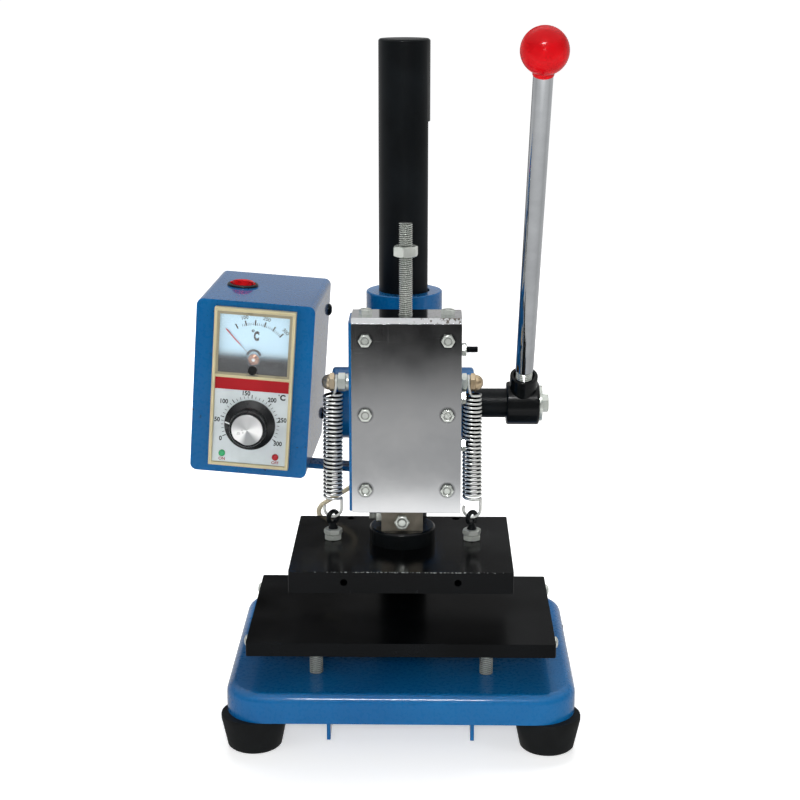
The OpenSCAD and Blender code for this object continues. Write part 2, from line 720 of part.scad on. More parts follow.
module ram_bolts() color(zinc) {
    to_front([0, -ram_side / 2, flange_top + 6]) hex_bolt(m5, 4.4);
    to_left([-ram_side / 2, 0, flange_top + 6]) {
        difference() {
            hex(m5[1], m5[2]);
            translate([0, 0, -1]) cylinder(d = m5[0] + 2 * fit_gap, h = m5[2] + 2);
        }
        translate([0, 0, -4.4]) cylinder(d = m5[0], h = 4.4 + m5[2] + 4.2);
    }
}

module stop_rod() color(zinc) translate([stop_rod_x, stop_rod_y, ram_top - 15]) {
    cylinder(d = stop_rod_d, h = 15 + cover_top - ram_top + stop_rod_show - 0.8);
    translate([0, 0, 15 + cover_top - ram_top + stop_rod_show - 0.8])
        cylinder(d1 = stop_rod_d, d2 = stop_rod_d - 1.6, h = 0.8);
}

module stop_nut() color(zinc) translate([stop_rod_x, stop_rod_y, cover_top + stop_nut_rise]) difference() {
    rotate(20) hex(13, 6.3);
    translate([0, 0, -1]) cylinder(d = stop_rod_d + 2 * run_gap, h = 9);
}

module ram_flange() color(black) translate([0, 0, plate_top]) {
    cylinder(d = flange_d, h = flange_h - 1);
    translate([0, 0, flange_h - 1]) cylinder(d1 = flange_d, d2 = flange_d - 2, h = 1);
    translate([0, 0, -spigot_l]) cylinder(d = 16, h = spigot_l + flange_h + 13.5);
}

module heated_plate() color(black) difference() {
    translate([0, plate_mid_y, plate_z]) linear_extrude(plate_t) round_rect(plate_w, plate_d, 1);
    for (s = [-1, 1]) {
        to_front([s * heater_x, plate_back, heater_z]) hole(heater_d, plate_d - 18);
        to_back([s * heater_x, -plate_front, heater_z]) translate([0, 0, -0.1]) cylinder(d = 4.2, h = 12.1);
        translate([s * heater_x, plate_back - 4.5, heater_z]) cylinder(d = 5, h = plate_t);
        translate([s * eye_x, eye_y, plate_top - 9]) hole(m6[0], 10);
    }
    translate([0, 0, plate_top - spigot_l]) hole(16, spigot_l + 1);
    to_front([probe_x, plate_back, heater_z]) hole(probe_d, probe_l);
}

// Two cartridge heaters and the sleeved link that joins their tails behind the plate
module heaters() color(steel) {
    for (s = [-1, 1]) to_back([s * heater_x, plate_back - plate_d + 19, heater_z])
        cylinder(d = heater_d, h = plate_d - 19 + heater_tail);
    tail_y = plate_back + heater_tail + fit_gap;
    link_x = heater_x - 2;
    side = [[0, 0, -2], [0, 0.8, -2], [-2, 1.8, -3], [-7, 0, -5]];
    tube(concat([for (p = side) [link_x + p[0], tail_y + p[1], heater_z + p[2]]],
        [[12, plate_back + 3.5, heater_z - 5], [-8, plate_back + 3.5, heater_z - 5]],
        [for (i = [3 : -1 : 0]) [-link_x - side[i][0], tail_y + side[i][1], heater_z + side[i][2]]]),
        2, 8, [0, 0, 1]);
}

module thermocouple() color(steel) to_back([probe_x, plate_back - probe_l + 1, heater_z]) {
    cylinder(d = probe_d, h = probe_l + 3, $fn = 24);
    translate([0, 0, probe_l + 3]) cylinder(d = 2, h = 5, $fn = 24);
}

module eye_bolts() color(black) for (s = [-1, 1]) translate([s * eye_x, eye_y, 0]) {
    translate([0, 0, eye_z]) rotate([90, 0, eye_turn]) rotate_extrude() translate([eye_ring_r, 0])
        circle(d = eye_wire_d, $fn = 32);
    translate([0, 0, plate_top - 8]) cylinder(d = m6[0], h = 8 + 2 * eye_nut_h + fit_gap);
    translate([0, 0, plate_top + 2 * eye_nut_h + fit_gap])
        cylinder(d1 = m6[0], d2 = eye_wire_d + 1, h = eye_h - eye_ring_r - 2 * eye_nut_h - fit_gap);
}

module eye_bolt_nuts() color(zinc) for (s = [-1, 1], i = [0, 1])
    translate([s * eye_x, eye_y, plate_top + i * (eye_nut_h + fit_gap)]) difference() {
        hex(m6[1], eye_nut_h);
        translate([0, 0, -1]) cylinder(d = m6[0] + 2 * fit_gap, h = eye_nut_h + 2);
    }

// Lever: shaft, pinion, hub, rod and ball

module lever_shaft() color(black) difference() {
    to_right([-boss_reach + 0.5, shaft_y, shaft_z]) cylinder(d = shaft_d, h = boss_reach - 0.5 + hub_x + hub_l - 0.3);
    to_left([hub_x + hub_l, shaft_y, shaft_z]) hole(m6[0], 16);
}

base_r = pitch_r * cos(pressure_angle);
function roll_angle(r) = let (c = acos(min(1, base_r / r))) tan(c) * 180 / PI - c;
tooth_half = 90 / pinion_teeth - backlash / 2 / pitch_r * 180 / PI;
function flank_angle(r) = tooth_half + roll_angle(pitch_r) - roll_angle(r);
root_r = pitch_r - 1.25 * gear_module;
flank_rs = [for (i = [0 : 4]) let (r0 = max(base_r, root_r + 0.2)) r0 + (pinion_tip_r - r0) * i / 4];
function polar(r, a) = [r * cos(a), r * sin(a)];

module pinion() color(steel) to_gear() difference() {
    translate([0, 0, -pinion_w / 2]) linear_extrude(pinion_w) polygon([
        for (i = [0 : pinion_teeth - 1]) let (c = 180 + (i + 0.5) * 360 / pinion_teeth) each concat(
            [polar(root_r, c - flank_angle(flank_rs[0]))],
            [for (k = [0 : 4]) polar(flank_rs[k], c - flank_angle(flank_rs[k]))],
            [for (k = [4 : -1 : 0]) polar(flank_rs[k], c + flank_angle(flank_rs[k]))],
            [polar(root_r, c + flank_angle(flank_rs[0]))])]);
    cylinder(d = shaft_d + 2 * fit_gap, h = pinion_w + 2, center = true);
}

module to_gear() translate([0, shaft_y, shaft_z]) rotate([90, 0, 90]) children();

module lever_hub() color(black) difference() {
    union() {
        to_right([hub_x + hub_l / 2, shaft_y, shaft_z]) soft_disc(hub_d, hub_l / 2, 1.5);
        to_left([hub_x + hub_l / 2, shaft_y, shaft_z]) soft_disc(hub_d, hub_l / 2, 1.5);
        in_lever() soft_disc(socket_d, socket_l, 0.8);
    }
    to_right([hub_x - 1, shaft_y, shaft_z]) cylinder(d = shaft_d + 2 * fit_gap, h = hub_l + 2);
    in_lever() translate([0, 0, shaft_d / 2 + 1.5]) cylinder(d = 10 + 2 * fit_gap, h = socket_l);
    in_lever() translate([0, 0, socket_l - 4]) cylinder(d = socket_d - 4, h = 5);
}

module hub_bolt() color(zinc) to_right([hub_x + hub_l, shaft_y, shaft_z]) {
    ring(22, m6[0], 2);
    translate([0, 0, 2]) hex_bolt(m6, 16);
}

shank_from = socket_l + 4;

module lever_rod() color(zinc) in_lever() {
    translate([0, 0, shaft_d / 2 + 2]) cylinder(d = 10, h = shank_from - shaft_d / 2 - 1);
    translate([0, 0, shank_from]) cylinder(d1 = lever_rod_d - 1, d2 = lever_rod_d, h = 0.8);
    translate([0, 0, shank_from + 0.8]) cylinder(d = lever_rod_d, h = lever_l - ball_d / 2 - 1 - shank_from - 0.8);
    translate([0, 0, lever_l - ball_d / 2 - 2]) cylinder(d = 8, h = ball_d / 2 + 4);
}

module ball_knob() color("#c4161c") in_lever() translate([0, 0, lever_l]) difference() {
    union() {
        sphere(d = ball_d, $fn = 64);
        translate([0, 0, -ball_d / 2 - 0.9]) cylinder(d = lever_rod_d + 2, h = 4);
    }
    translate([0, 0, -ball_d / 2 - 2]) cylinder(d = 8 + 2 * fit_gap, h = ball_d / 2 + 4.2);
    translate([0, 0, -ball_d / 2 - 2]) cylinder(d = lever_rod_d + 2 * fit_gap, h = 1.1);
}

// Control box and its bracket

module bracket_screw_places() in_box() for (x = bracket_screw_x)
    translate([x, (bracket_y[0] + bracket_y[1]) / 2, -box_h / 2 - bracket_t]) rotate([180, 0, 0]) children();

module pad_bolt_places() for (x = pad_bolt_x)
    to_down([x, (pad_y[0] + pad_y[1]) / 2, pad_z - bracket_t]) children();

// Flat bar: level foot under the casting's pad, then the arm that carries the leaning box
module box_bracket() color(paint) difference() {
    union() {
        intersection() {
            in_box() translate([-box_w / 2 + 8, bracket_y[0], -box_h / 2 - bracket_t])
                cube([2 * box_w, bracket_y[1] - bracket_y[0], bracket_t]);
            translate([-3 * box_x, 0, 0]) cube([3 * box_x - head_left, 3 * box_d, head_top]);
        }
        translate([-head_left - 0.6, pad_y[0], pad_z - bracket_t])
            cube([head_left + 0.6 - pad_right, pad_y[1] - pad_y[0], bracket_t]);
    }
    bracket_screw_places() rotate([180, 0, 0]) hole(m5[0], bracket_t);
    pad_bolt_places() rotate([180, 0, 0]) hole(m5[0], bracket_t);
}

module bracket_bolts() color(zinc) {
    bracket_screw_places() hex_bolt(m5, bracket_t + box_skin + 3);
    pad_bolt_places() hex_bolt(m5, bracket_t + 10);
}

module side_screw_places() in_box() for (z = side_screw_z) {
    to_right([box_w / 2, box_d - side_screw_in, z]) children();
    to_left([-box_w / 2, box_d - side_screw_in, z]) children();
}

module box_shell() color(paint) difference() {
    in_box() difference() {
        to_back([0, 0, 0]) linear_extrude(box_d) round_rect(box_w, box_h, 4);
        to_back([0, box_skin, 0]) linear_extrude(box_d)
            round_rect(box_w - 2 * box_skin, box_h - 2 * box_skin, 4 - box_skin);
        translate([panel_off[0], -1, panel_off[1]])
            cube([core_w + 2 * fit_gap, 8, core_h + 2 * fit_gap], center = true);
        translate([switch_at[0], switch_at[1], box_h / 2 - 5]) cylinder(d = switch_body_d + 2 * fit_gap, h = 10);
        translate([grommet_at[0], grommet_at[1], -box_h / 2 - 1]) cylinder(d = grommet_d - 2, h = 6);
    }
    bracket_screw_places() rotate([180, 0, 0]) hole(m5[0], bracket_t + 3);
    side_screw_places() rotate([180, 0, 0]) hole(m4[0], 4, $fn = 24);
}

module box_back_cover() color(paint) difference() {
    in_box() {
        inner_w = box_w - 2 * box_skin - 2 * fit_gap;
        inner_h = box_h - 2 * box_skin - 2 * fit_gap;
        to_back([0, box_d - box_skin, 0]) linear_extrude(box_skin) round_rect(inner_w, inner_h, 4 - box_skin);
        for (s = [-1, 1]) translate([s * (inner_w - box_skin) / 2, box_d - 7.5, 0])
            cube([box_skin, 14, inner_h - 10], center = true);
    }
    side_screw_places() rotate([180, 0, 0]) hole(m4[0], 2 * box_skin + 1, $fn = 24);
}

module box_side_screws() color(black) side_screw_places() dome_screw(m4[0], 7.5, 2.4, 2 * box_skin + 3);

module lead_grommet() color(black) in_box() translate([grommet_at[0], grommet_at[1], -box_h / 2]) difference() {
    union() {
        translate([0, 0, -1.5]) cylinder(d = grommet_d + 2, h = 1.5);
        translate([0, 0, -0.1]) cylinder(d = grommet_d - 2 - 2 * fit_gap, h = box_skin + 0.1);
        translate([0, 0, box_skin]) cylinder(d = grommet_d + 2, h = 1.5);
    }
    translate([0, 0, -3]) cylinder(d = lead_d + 1, h = 9);
}

module heater_lead() color("#e6dcc0") tube(lead_points, lead_d, 8, [0, 0, 1]);

// Temperature controller in the box's front

module at_panel(place, y) in_box()
    translate([panel_off[0] + place[0], y, panel_off[1] + place[1]]) rotate([90, 0, 0]) children();

module panel_block(w, low, h, front, back) in_box()
    translate([panel_off[0] - w / 2, front, panel_off[1] + low]) cube([w, back - front, h]);

module controller_body() color(black) difference() {
    union() {
        panel_block(core_w, -core_h / 2, core_h, meter_face_y + 0.5, core_d);
        panel_block(core_w, -core_h / 2, core_h / 2 + band_bottom + band_h, dial_back_y, 0);
    }
    at_panel(knob_at, 16) cylinder(d = knob_spindle_d + 2 * run_gap, h = 30);
    at_panel(pivot_at, 3) cylinder(d = pivot_d + 2 * run_gap, h = 8, $fn = 24);
    for (p = lamp_at) at_panel(p, 4) cylinder(d = lamp_d + 2 * fit_gap, h = 20, $fn = 24);
}

module controller_bezel() color("#e0cd98") difference() {
    panel_block(bezel_w, -bezel_h / 2, bezel_h, -bezel_depth, 0);
    panel_block(panel_w, -panel_h / 2, panel_h / 2 + band_bottom + band_h, -bezel_depth - 1, 1);
    panel_block(panel_w, meter_bottom, meter_h, -bezel_depth - 1, 1);
    panel_block(panel_w, 0, meter_bottom + 1, meter_face_y + 0.5, 1);
}

module band_plate() color("#a8141e")
    panel_block(panel_w - 2 * fit_gap, band_bottom + fit_gap, band_h - 2 * fit_gap, dial_face_y, dial_back_y);

module dial_plate() color("#c8d0d2") difference() {
    panel_block(panel_w - 2 * fit_gap, -panel_h / 2 + fit_gap, panel_h / 2 + band_bottom - fit_gap,
        dial_face_y, dial_back_y);
    at_panel(knob_at, 4) cylinder(d = knob_spindle_d + 1, h = 20);
    for (p = lamp_at) at_panel(p, 4) cylinder(d = lamp_d + 2 * fit_gap, h = 20, $fn = 24);
}

module meter_face() color("#cfe6f0") difference() {
    panel_block(panel_w - 2 * fit_gap, meter_bottom + fit_gap, meter_h - 2 * fit_gap,
        meter_face_y, meter_face_y + 0.5);
    at_panel(pivot_at, 4) cylinder(d = pivot_d + 1, h = 20, $fn = 24);
}

module meter_shroud() color("#5b5f63") difference() {
    panel_block(panel_w - 2 * fit_gap, meter_bottom + fit_gap, shroud_h, window_y + window_t, window_y + window_t + 0.5);
    at_panel(pivot_at, 4) cylinder(d = 8, h = 20);
    at_panel(adjuster_at, 4) cylinder(d = 3 + 2 * fit_gap, h = 20, $fn = 24);
}

module meter_window() color("#e8f2f6", 0.4) difference() {
    panel_block(panel_w - 2 * fit_gap, meter_bottom + fit_gap, meter_h - 2 * fit_gap, window_y, window_y + window_t);
    at_panel(adjuster_at, 4) cylinder(d = 3 + 2 * fit_gap, h = 20, $fn = 24);
}

module meter_adjuster() color(black) difference() {
    at_panel(adjuster_at, window_y) {
        cylinder(d = 5.4, h = 0.8);
        translate([0, 0, -window_t - 0.5]) cylinder(d = 3, h = window_t + 0.6, $fn = 24);
    }
    at_panel(adjuster_at, window_y - 0.4) translate([-4, -0.4, 0]) cube([8, 0.8, 1]);
}

module meter_needle() color("#c01820") {
    at_panel(pivot_at, meter_face_y - 0.3) cylinder(d = 4, h = 0.8, $fn = 24);
    at_panel(pivot_at, 2) cylinder(d = pivot_d, h = 2 - meter_face_y + 0.5, $fn = 24);
    at_panel(pivot_at, meter_face_y - 0.5) rotate(needle_angle) translate([-0.3, 0, 0]) cube([0.6, needle_l, 0.4]);
}

module temperature_knob() color(black) {
    at_panel(knob_at, dial_face_y - 0.4) rotate_extrude() polygon([[0, 0], [knob_d / 2, 0], [knob_d / 2, 1.6],
        [knob_d * 0.37, 4.4], [knob_d * 0.355, 11], [knob_d * 0.34, 11.8], [0, 11.8]]);
    at_panel(knob_at, 14) cylinder(d = knob_spindle_d, h = 14 - dial_face_y + 0.5);
}

module knob_cap() color(zinc) at_panel(knob_at, dial_face_y - 12.2) {
    cylinder(d = knob_d * 0.645, h = 0.7);
    translate([0, 0, 0.7]) cylinder(d1 = knob_d * 0.645, d2 = knob_d * 0.6, h = 0.4);
}

module lamp(place) at_panel(place, 2) {
    cylinder(d = lamp_d, h = 2 - dial_face_y + 0.6, $fn = 24);
    translate([0, 0, 2 - dial_face_y + 0.6]) intersection() {
        sphere(d = lamp_d);
        cylinder(d = lamp_d + 1, h = lamp_d);
    }
}

module lamp_green() color("#1f9a52") lamp(lamp_at[0]);

module lamp_red() color("#b3121a") lamp(lamp_at[1]);

// Round rocker switch on the box's top

module at_switch() in_box() translate([switch_at[0], switch_at[1], box_h / 2]) children();

module switch_bezel() color(black) at_switch() difference() {
    union() {
        soft_disc(switch_d, 2.2, 1);
        translate([0, 0, -13]) cylinder(d = switch_body_d, h = 13.1);
    }
    translate([0, 0, -6]) cylinder(r = rocker_r + 0.6, h = 10);
    to_right([-switch_d, 0, rocker_lift]) translate([0, 0, switch_d - switch_body_d / 2])
        cylinder(d = rocker_pin_d + 2 * run_gap, h = switch_body_d, $fn = 24);
}

module rocker() color("#c4161c") at_switch() translate([0, 0, rocker_lift]) rotate([-rocker_tilt, 0, 0]) {
    intersection() {
        cylinder(r = rocker_r, h = 20, center = true);
        rotate([90, 0, 90]) translate([0, 0, -switch_d / 2]) linear_extrude(switch_d)
            polygon([[-rocker_r, -3], [rocker_r, -3], [rocker_r, 2.6], [0, 1.2], [-rocker_r, 2.6]]);
    }
    rotate([0, 90, 0]) cylinder(d = rocker_pin_d, h = switch_body_d - 0.4, center = true, $fn = 24);
}

base_pan();
base_tabs();
rubber_feet();
foot_screws();
column();
column_bolt();
platen();
platen_studs();
platen_screws();
head_casting();
front_cover();
top_cover();
cover_bolts();
clamp_bolts();
gib_strip();
gib_screws();
gib_lock_nuts();
shaft_bushes();
spring_anchors();
spring_cap_nuts();
box_bracket();
bracket_bolts();
box_shell();
box_back_cover();
box_side_screws();
controller_body();
controller_bezel();
band_plate();
dial_plate();
meter_face();
meter_shroud();
meter_window();
meter_adjuster();
lamp_green();
lamp_red();
switch_bezel();
lead_grommet();
heater_lead();
meter_needle();
temperature_knob();
knob_cap();
rocker();
lever_shaft();
pinion();
lever_hub();
hub_bolt();
lever_rod();
ball_knob();
ram_bar();
stop_rod();
ram_flange();
ram_bolts();
heated_plate();
heaters();
thermocouple();
eye_bolts();
eye_bolt_nuts();
return_spring_left();
return_spring_right();
stop_nut();
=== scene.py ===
# %% [markdown]
# # A hand-lever foil stamping press, dressed over its CAD frame
# The frame already holds every piece of the press as plain CAD, sorted into the bodies that move.
# This lesson gives each piece its look: rounded edges, threads, springs, printed dials and
# finishes that are all computed, so nothing is read from a picture. Distances are typed in
# millimetres and turned into metres on the way in. X = 0 is the machine's middle, the operator
# stands at -Y, and Z = 0 is the bench.

# %% Load the frame
import math
import bpy
from mathutils import Matrix, Vector


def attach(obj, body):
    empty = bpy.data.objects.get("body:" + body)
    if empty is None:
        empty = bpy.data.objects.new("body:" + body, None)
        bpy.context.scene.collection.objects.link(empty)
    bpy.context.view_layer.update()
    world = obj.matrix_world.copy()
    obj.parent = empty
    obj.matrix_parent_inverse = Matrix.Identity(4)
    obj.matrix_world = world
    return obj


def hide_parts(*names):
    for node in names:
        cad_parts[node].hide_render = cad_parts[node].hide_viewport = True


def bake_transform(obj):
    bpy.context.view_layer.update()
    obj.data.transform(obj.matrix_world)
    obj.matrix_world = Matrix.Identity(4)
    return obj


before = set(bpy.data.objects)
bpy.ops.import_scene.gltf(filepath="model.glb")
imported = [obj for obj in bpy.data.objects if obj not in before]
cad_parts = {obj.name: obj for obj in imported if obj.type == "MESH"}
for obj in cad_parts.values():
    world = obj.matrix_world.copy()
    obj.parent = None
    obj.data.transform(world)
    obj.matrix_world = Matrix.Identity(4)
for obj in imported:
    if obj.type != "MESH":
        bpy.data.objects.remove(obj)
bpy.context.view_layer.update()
MM = 0.001
scene = bpy.context.scene
scene.view_settings.view_transform = "Standard"

# %% [markdown]
# ## The camera
# A long lens, a little above the machine and looking down 14.5 degrees. The focal length came from
# the way the two plates narrow towards the back, and the small turn from where their side edges meet.

# %% Camera
camera_data = bpy.data.cameras.new("press_camera")
camera_data.lens = 79.0
camera_data.sensor_width = 36.0
camera = bpy.data.objects.new("press_camera", camera_data)
scene.collection.objects.link(camera)
camera.location = (0.016, -1.021, 0.459)
camera.rotation_euler = (math.radians(75.5), 0.0, math.radians(0.98))
scene.camera = camera
print("camera", tuple(camera.location))

# %% [markdown]
# ## Hand tools used all along
# Each step starts from a clean selection, as one would at the screen. `take` picks one object,
# `modify` adds a modifier and applies it at once, and `put` moves the finished shape to its place
# and writes that place into the mesh. `open_mesh` and `close_mesh` stand round every edit of a mesh,
# and the second also turns all faces outward.

# %% Selection and modifiers
def rest():
    if bpy.context.object and bpy.context.object.mode != "OBJECT":
        bpy.ops.object.mode_set(mode="OBJECT")
    bpy.ops.object.select_all(action="DESELECT")


def take(obj):
    rest()
    obj.select_set(True)
    bpy.context.view_layer.objects.active = obj


def add(name, data):
    obj = bpy.data.objects.new(name, data)
    scene.collection.objects.link(obj)
    return obj


def modify(obj, kind, **settings):
    take(obj)
    step = obj.modifiers.new(kind.lower(), kind)
    for key, value in settings.items():
        setattr(step, key, value)
    bpy.ops.object.modifier_apply(modifier=step.name)


def put(obj, matrix):
    take(obj)
    obj.matrix_world = matrix @ obj.matrix_world
    bpy.ops.object.transform_apply(location=True, rotation=True, scale=True)
    return obj


# %% Editing a mesh
def open_mesh(obj):
    take(obj)
    bpy.ops.object.mode_set(mode="EDIT")
    bpy.ops.mesh.select_all(action="SELECT")


def close_mesh():
    bpy.ops.mesh.select_all(action="SELECT")
    bpy.ops.mesh.normals_make_consistent(inside=False)
    bpy.ops.object.mode_set(mode="OBJECT")


def smooth(obj, degrees):
    take(obj)
    bpy.ops.object.shade_smooth_by_angle(angle=math.radians(degrees))
    return obj


# %% Places and directions
def spot(x, y, z):
    return Matrix.Translation((x * MM, y * MM, z * MM))


def turn(degrees, axis):
    return Matrix.Rotation(math.radians(degrees), 4, axis)


def wave(degrees):
    angle = math.radians(degrees)
    return math.cos(angle), math.sin(angle)


TO_FRONT = turn(90, "X")
TO_RIGHT = turn(90, "Y")
TO_LEFT = turn(-90, "Y")
TO_DOWN = turn(180, "X")
print("tools ready")

# %% [markdown]
# ## Wires
# Springs and the heater's lead are round wire along a line. The line is a curve with a round bevel,
# turned into a mesh at the end. `soft_line` rounds a list of corner points off, so that a wire bends
# as wire does and not in straight bits.

# %% Round wire along points
def soft_line(points, parts):
    ends = [2 * Vector(points[0]) - Vector(points[1])] + [Vector(p) for p in points]
    ends.append(2 * Vector(points[-1]) - Vector(points[-2]))
    line = []
    for a, b, c, d in zip(ends, ends[1:], ends[2:], ends[3:]):
        for i in range(parts):
            t = i / parts
            line.append(0.5 * (2 * b + (c - a) * t + (2 * a - 5 * b + 4 * c - d) * t ** 2
                               + (3 * b - a - 3 * c + d) * t ** 3))
    line.append(Vector(points[-1]))
    return line


def wire(name, line, diameter, roundness=3):
    curve = bpy.data.curves.new(name, "CURVE")
    curve.dimensions = "3D"
    spline = curve.splines.new("POLY")
    spline.points.add(len(line) - 1)
    for point, place in zip(spline.points, line):
        point.co = (place[0] * MM, place[1] * MM, place[2] * MM, 1.0)
    curve.bevel_depth = diameter / 2 * MM
    curve.bevel_resolution = roundness
    curve.use_fill_caps = True
    obj = add(name, curve)
    take(obj)
    bpy.ops.object.convert(target="MESH")
    open_mesh(obj)
    bpy.ops.mesh.remove_doubles(threshold=1e-6)
    close_mesh()
    return smooth(obj, 50)


print("wire tool ready")

# %% [markdown]
# ## The heater's lead
# A sleeved lead leaves the left cartridge behind the heated plate, swings out to the left, passes
# behind the head and goes up into the control box. It could be a row of straight rods, but a lead is
# one soft curve. Its lower end moves with the plate and its upper end stays with the head.

# %% Lead from the plate to the box
BOX = spot(-89, -14, 204.7) @ turn(-2.6, "Z") @ turn(4, "Y")
grommet = BOX @ Vector((24 * MM, 68 * MM, -52.5 * MM)) / MM
tail = Vector((-33.3, 52.05, 99.9))
# how far each bend is from the lead's lower end
lead_run = [(0, 0, 0), (-0.3, 3.2, -0.3), (-3.3, 6.7, -1.1), (-7.5, 8.3, -1.8), (-11.4, 8.8, -2),
            (-15.4, 8.7, -1.6), (-19.9, 8.1, 0.4), (-21.8, 7.3, 4.9), (-19.9, 6.6, 9.4),
            (-15.8, 6.1, 12.6), (-11.8, 6, 15.1), (-7.9, 6.2, 17.5), (-4, 6.4, 19.9),
            (-0.3, 6.6, 22.7), (1.9, 6.6, 26.6), (1.6, 6.6, 31.1), (-1.3, 6.3, 34.4),
            (-5.8, 5.8, 35.9), (-10.8, 5.3, 36.4), (-15.8, 4.7, 36.9), (-20.8, 3.9, 37.8),
            (-25.6, 2.6, 39.5), (-29.8, 1.6, 42.4)]
lead_points = [tail + Vector(p) for p in lead_run]
lead_points += [grommet + Vector((0, 0, z)) for z in (-4, 0, 5)]
lead_line = soft_line(lead_points, 5)
lead = wire("lead_sleeve", lead_line, 3.0, 4)
lead_length = sum((b - a).length for a, b in zip(lead_line, lead_line[1:])) * MM
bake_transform(lead)
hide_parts("heater_lead")
[p * MM for p in lead_line]
print("lead", round(lead_length * 1000), "mm")

# %% [markdown]
# ## Shader maths
# A finish is a small network of nodes. `Sock` wraps one socket so that sums can be written as sums,
# and `Net.node` is the one place where a node is made. Patterns are read in the piece's own
# coordinates, so they stay with the piece when the press moves.

# %% The socket wrapper
class Sock:
    def __init__(self, net, socket):
        self.net = net
        self.socket = socket

    def sum(self, kind, other, flip=False):
        first, second = (other, self) if flip else (self, other)
        return self.net.node("ShaderNodeMath", {"operation": kind}, {0: first, 1: second})

    def __add__(self, other):
        return self.sum("ADD", other)

    __radd__ = __add__

    def __sub__(self, other):
        return self.sum("SUBTRACT", other)

    def __rsub__(self, other):
        return self.sum("SUBTRACT", other, True)

    def __mul__(self, other):
        return self.sum("MULTIPLY", other)

    __rmul__ = __mul__


# %% The network
class Net:
    def __init__(self, tree):
        self.tree = tree

    def node(self, kind, settings, sockets, out=0):
        made = self.tree.nodes.new(kind)
        for key, value in settings.items():
            if key == "stops":
                self.grade(made.color_ramp, value)
            else:
                setattr(made, key, value)
        for key, value in sockets.items():
            self.plug(made.inputs[key], value)
        return Sock(self, made.outputs[out]) if made.outputs else made

    def grade(self, ramp, stops):
        while len(ramp.elements) < len(stops):
            ramp.elements.new(0.5)
        for element, (place, level) in zip(ramp.elements, stops):
            element.position = place
            element.color = (level, level, level, 1.0)

    def plug(self, socket, value):
        if isinstance(value, Sock):
            self.tree.links.new(value.socket, socket)
        else:
            socket.default_value = value

    def where(self, kind="Object"):
        return self.node("ShaderNodeTexCoord", {}, {}, kind)

    def vector(self, kind, a, b, out="Vector"):
        return self.node("ShaderNodeVectorMath", {"operation": kind}, {0: a, 1: b}, out)

    def part(self, vector, axis):
        return self.node("ShaderNodeSeparateXYZ", {}, {0: vector}, axis)

    def along(self, origin, axis):
        return self.vector("DOT_PRODUCT", self.vector("SUBTRACT", self.where(), origin), axis, "Value")

    def noise(self, scale, detail=2.0, stretch=(1, 1, 1)):
        at = self.vector("MULTIPLY", self.where(), stretch)
        return self.node("ShaderNodeTexNoise", {}, {"Vector": at, "Scale": scale, "Detail": detail})

    def span(self, value, low, high, to_low=0.0, to_high=1.0):
        return self.node("ShaderNodeMapRange", {}, {
            "Value": value, "From Min": low, "From Max": high, "To Min": to_low, "To Max": to_high})

    def mix(self, a, b, amount):
        return self.node("ShaderNodeMix", {"data_type": "RGBA"}, {0: amount, 6: a, 7: b}, 2)


# %% The finish
FINISHES = {}


class Finish(Net):
    def __init__(self, name, metal=0.0, rough=0.5, **more):
        self.material = bpy.data.materials.new(name)
        self.material.use_nodes = True
        Net.__init__(self, self.material.node_tree)
        self.shader = self.tree.nodes["Principled BSDF"]
        self.shader.inputs["Metallic"].default_value = metal
        self.shader.inputs["Roughness"].default_value = rough
        for key, value in more.items():
            label = key.replace("_", " ").title().replace("Ior", "IOR")
            self.shader.inputs[label].default_value = value
        FINISHES[name] = self.material

    def feed(self, name, value):
        self.plug(self.shader.inputs[name], value)

    def bump(self, height, strength, distance=0.0002):
        self.feed("Normal", self.node("ShaderNodeBump", {}, {
            "Height": height, "Strength": strength, "Distance": distance}))


def tone(code, gain=1.0):
    parts = [int(code[i:i + 2], 16) / 255 for i in (0, 2, 4)]
    linear = [p / 12.92 if p <= 0.04045 else ((p + 0.055) / 1.055) ** 2.4 for p in parts]
    return (linear[0] * gain, linear[1] * gain, linear[2] * gain, 1.0)


print("shader tools ready")

# %% [markdown]
# ## Floor and light
# The machine stands on a pale floor that runs past the picture on every side. To the camera the
# floor is lifted to white and keeps the shadow. Bright metal shows what stands round it, so mirror
# rays meet a floor as in a small studio: bright near the machine, dark for a while a metre in front.

# %% Floor
rest()
bpy.ops.mesh.primitive_plane_add(size=80, location=(0, 0, 0))
floor = bpy.context.object
floor.name = "floor"
floor_look = bpy.data.materials.new("floor_white")
floor_look.use_nodes = True
ground = Net(floor_look.node_tree)
ground.tree.nodes.clear()
ahead = 0.0 - ground.part(ground.where(), "Y")
reach = ground.vector("LENGTH", ground.where(), (0, 0, 0), "Value")
NEAR = -0.3
FAR = 1.8
# how bright a mirror sees the floor at a distance in front, in metres
FRONT_LEVELS = [(NEAR, 0.56), (0.0, 0.5), (0.3, 0.7), (0.4, 1.3), (0.44, 0.95), (0.49, 0.46),
                (0.6, 0.45), (0.76, 0.4), (0.86, 0.27), (0.93, 0.08), (1.0, 0.01), (1.3, 0.01),
                (1.65, 0.3)]
stops = [((d - NEAR) / (FAR - NEAR), level) for d, level in FRONT_LEVELS]
graded = ground.node("ShaderNodeValToRGB", {"stops": stops}, {0: ground.span(ahead, NEAR, FAR)})
seen = ground.node("ShaderNodeLightPath", {}, {}, "Is Camera Ray")
mirrored = ground.node("ShaderNodeLightPath", {}, {}, "Is Glossy Ray")
pale = ground.node("ShaderNodeBsdfDiffuse", {}, {"Color": (0.86, 0.86, 0.86, 1)})
glow = seen * ground.span(reach, 0.5, 1.8, 0.5, 0.85)
lift = ground.node("ShaderNodeEmission", {}, {"Strength": glow})
plain = ground.node("ShaderNodeAddShader", {}, {0: pale, 1: lift})
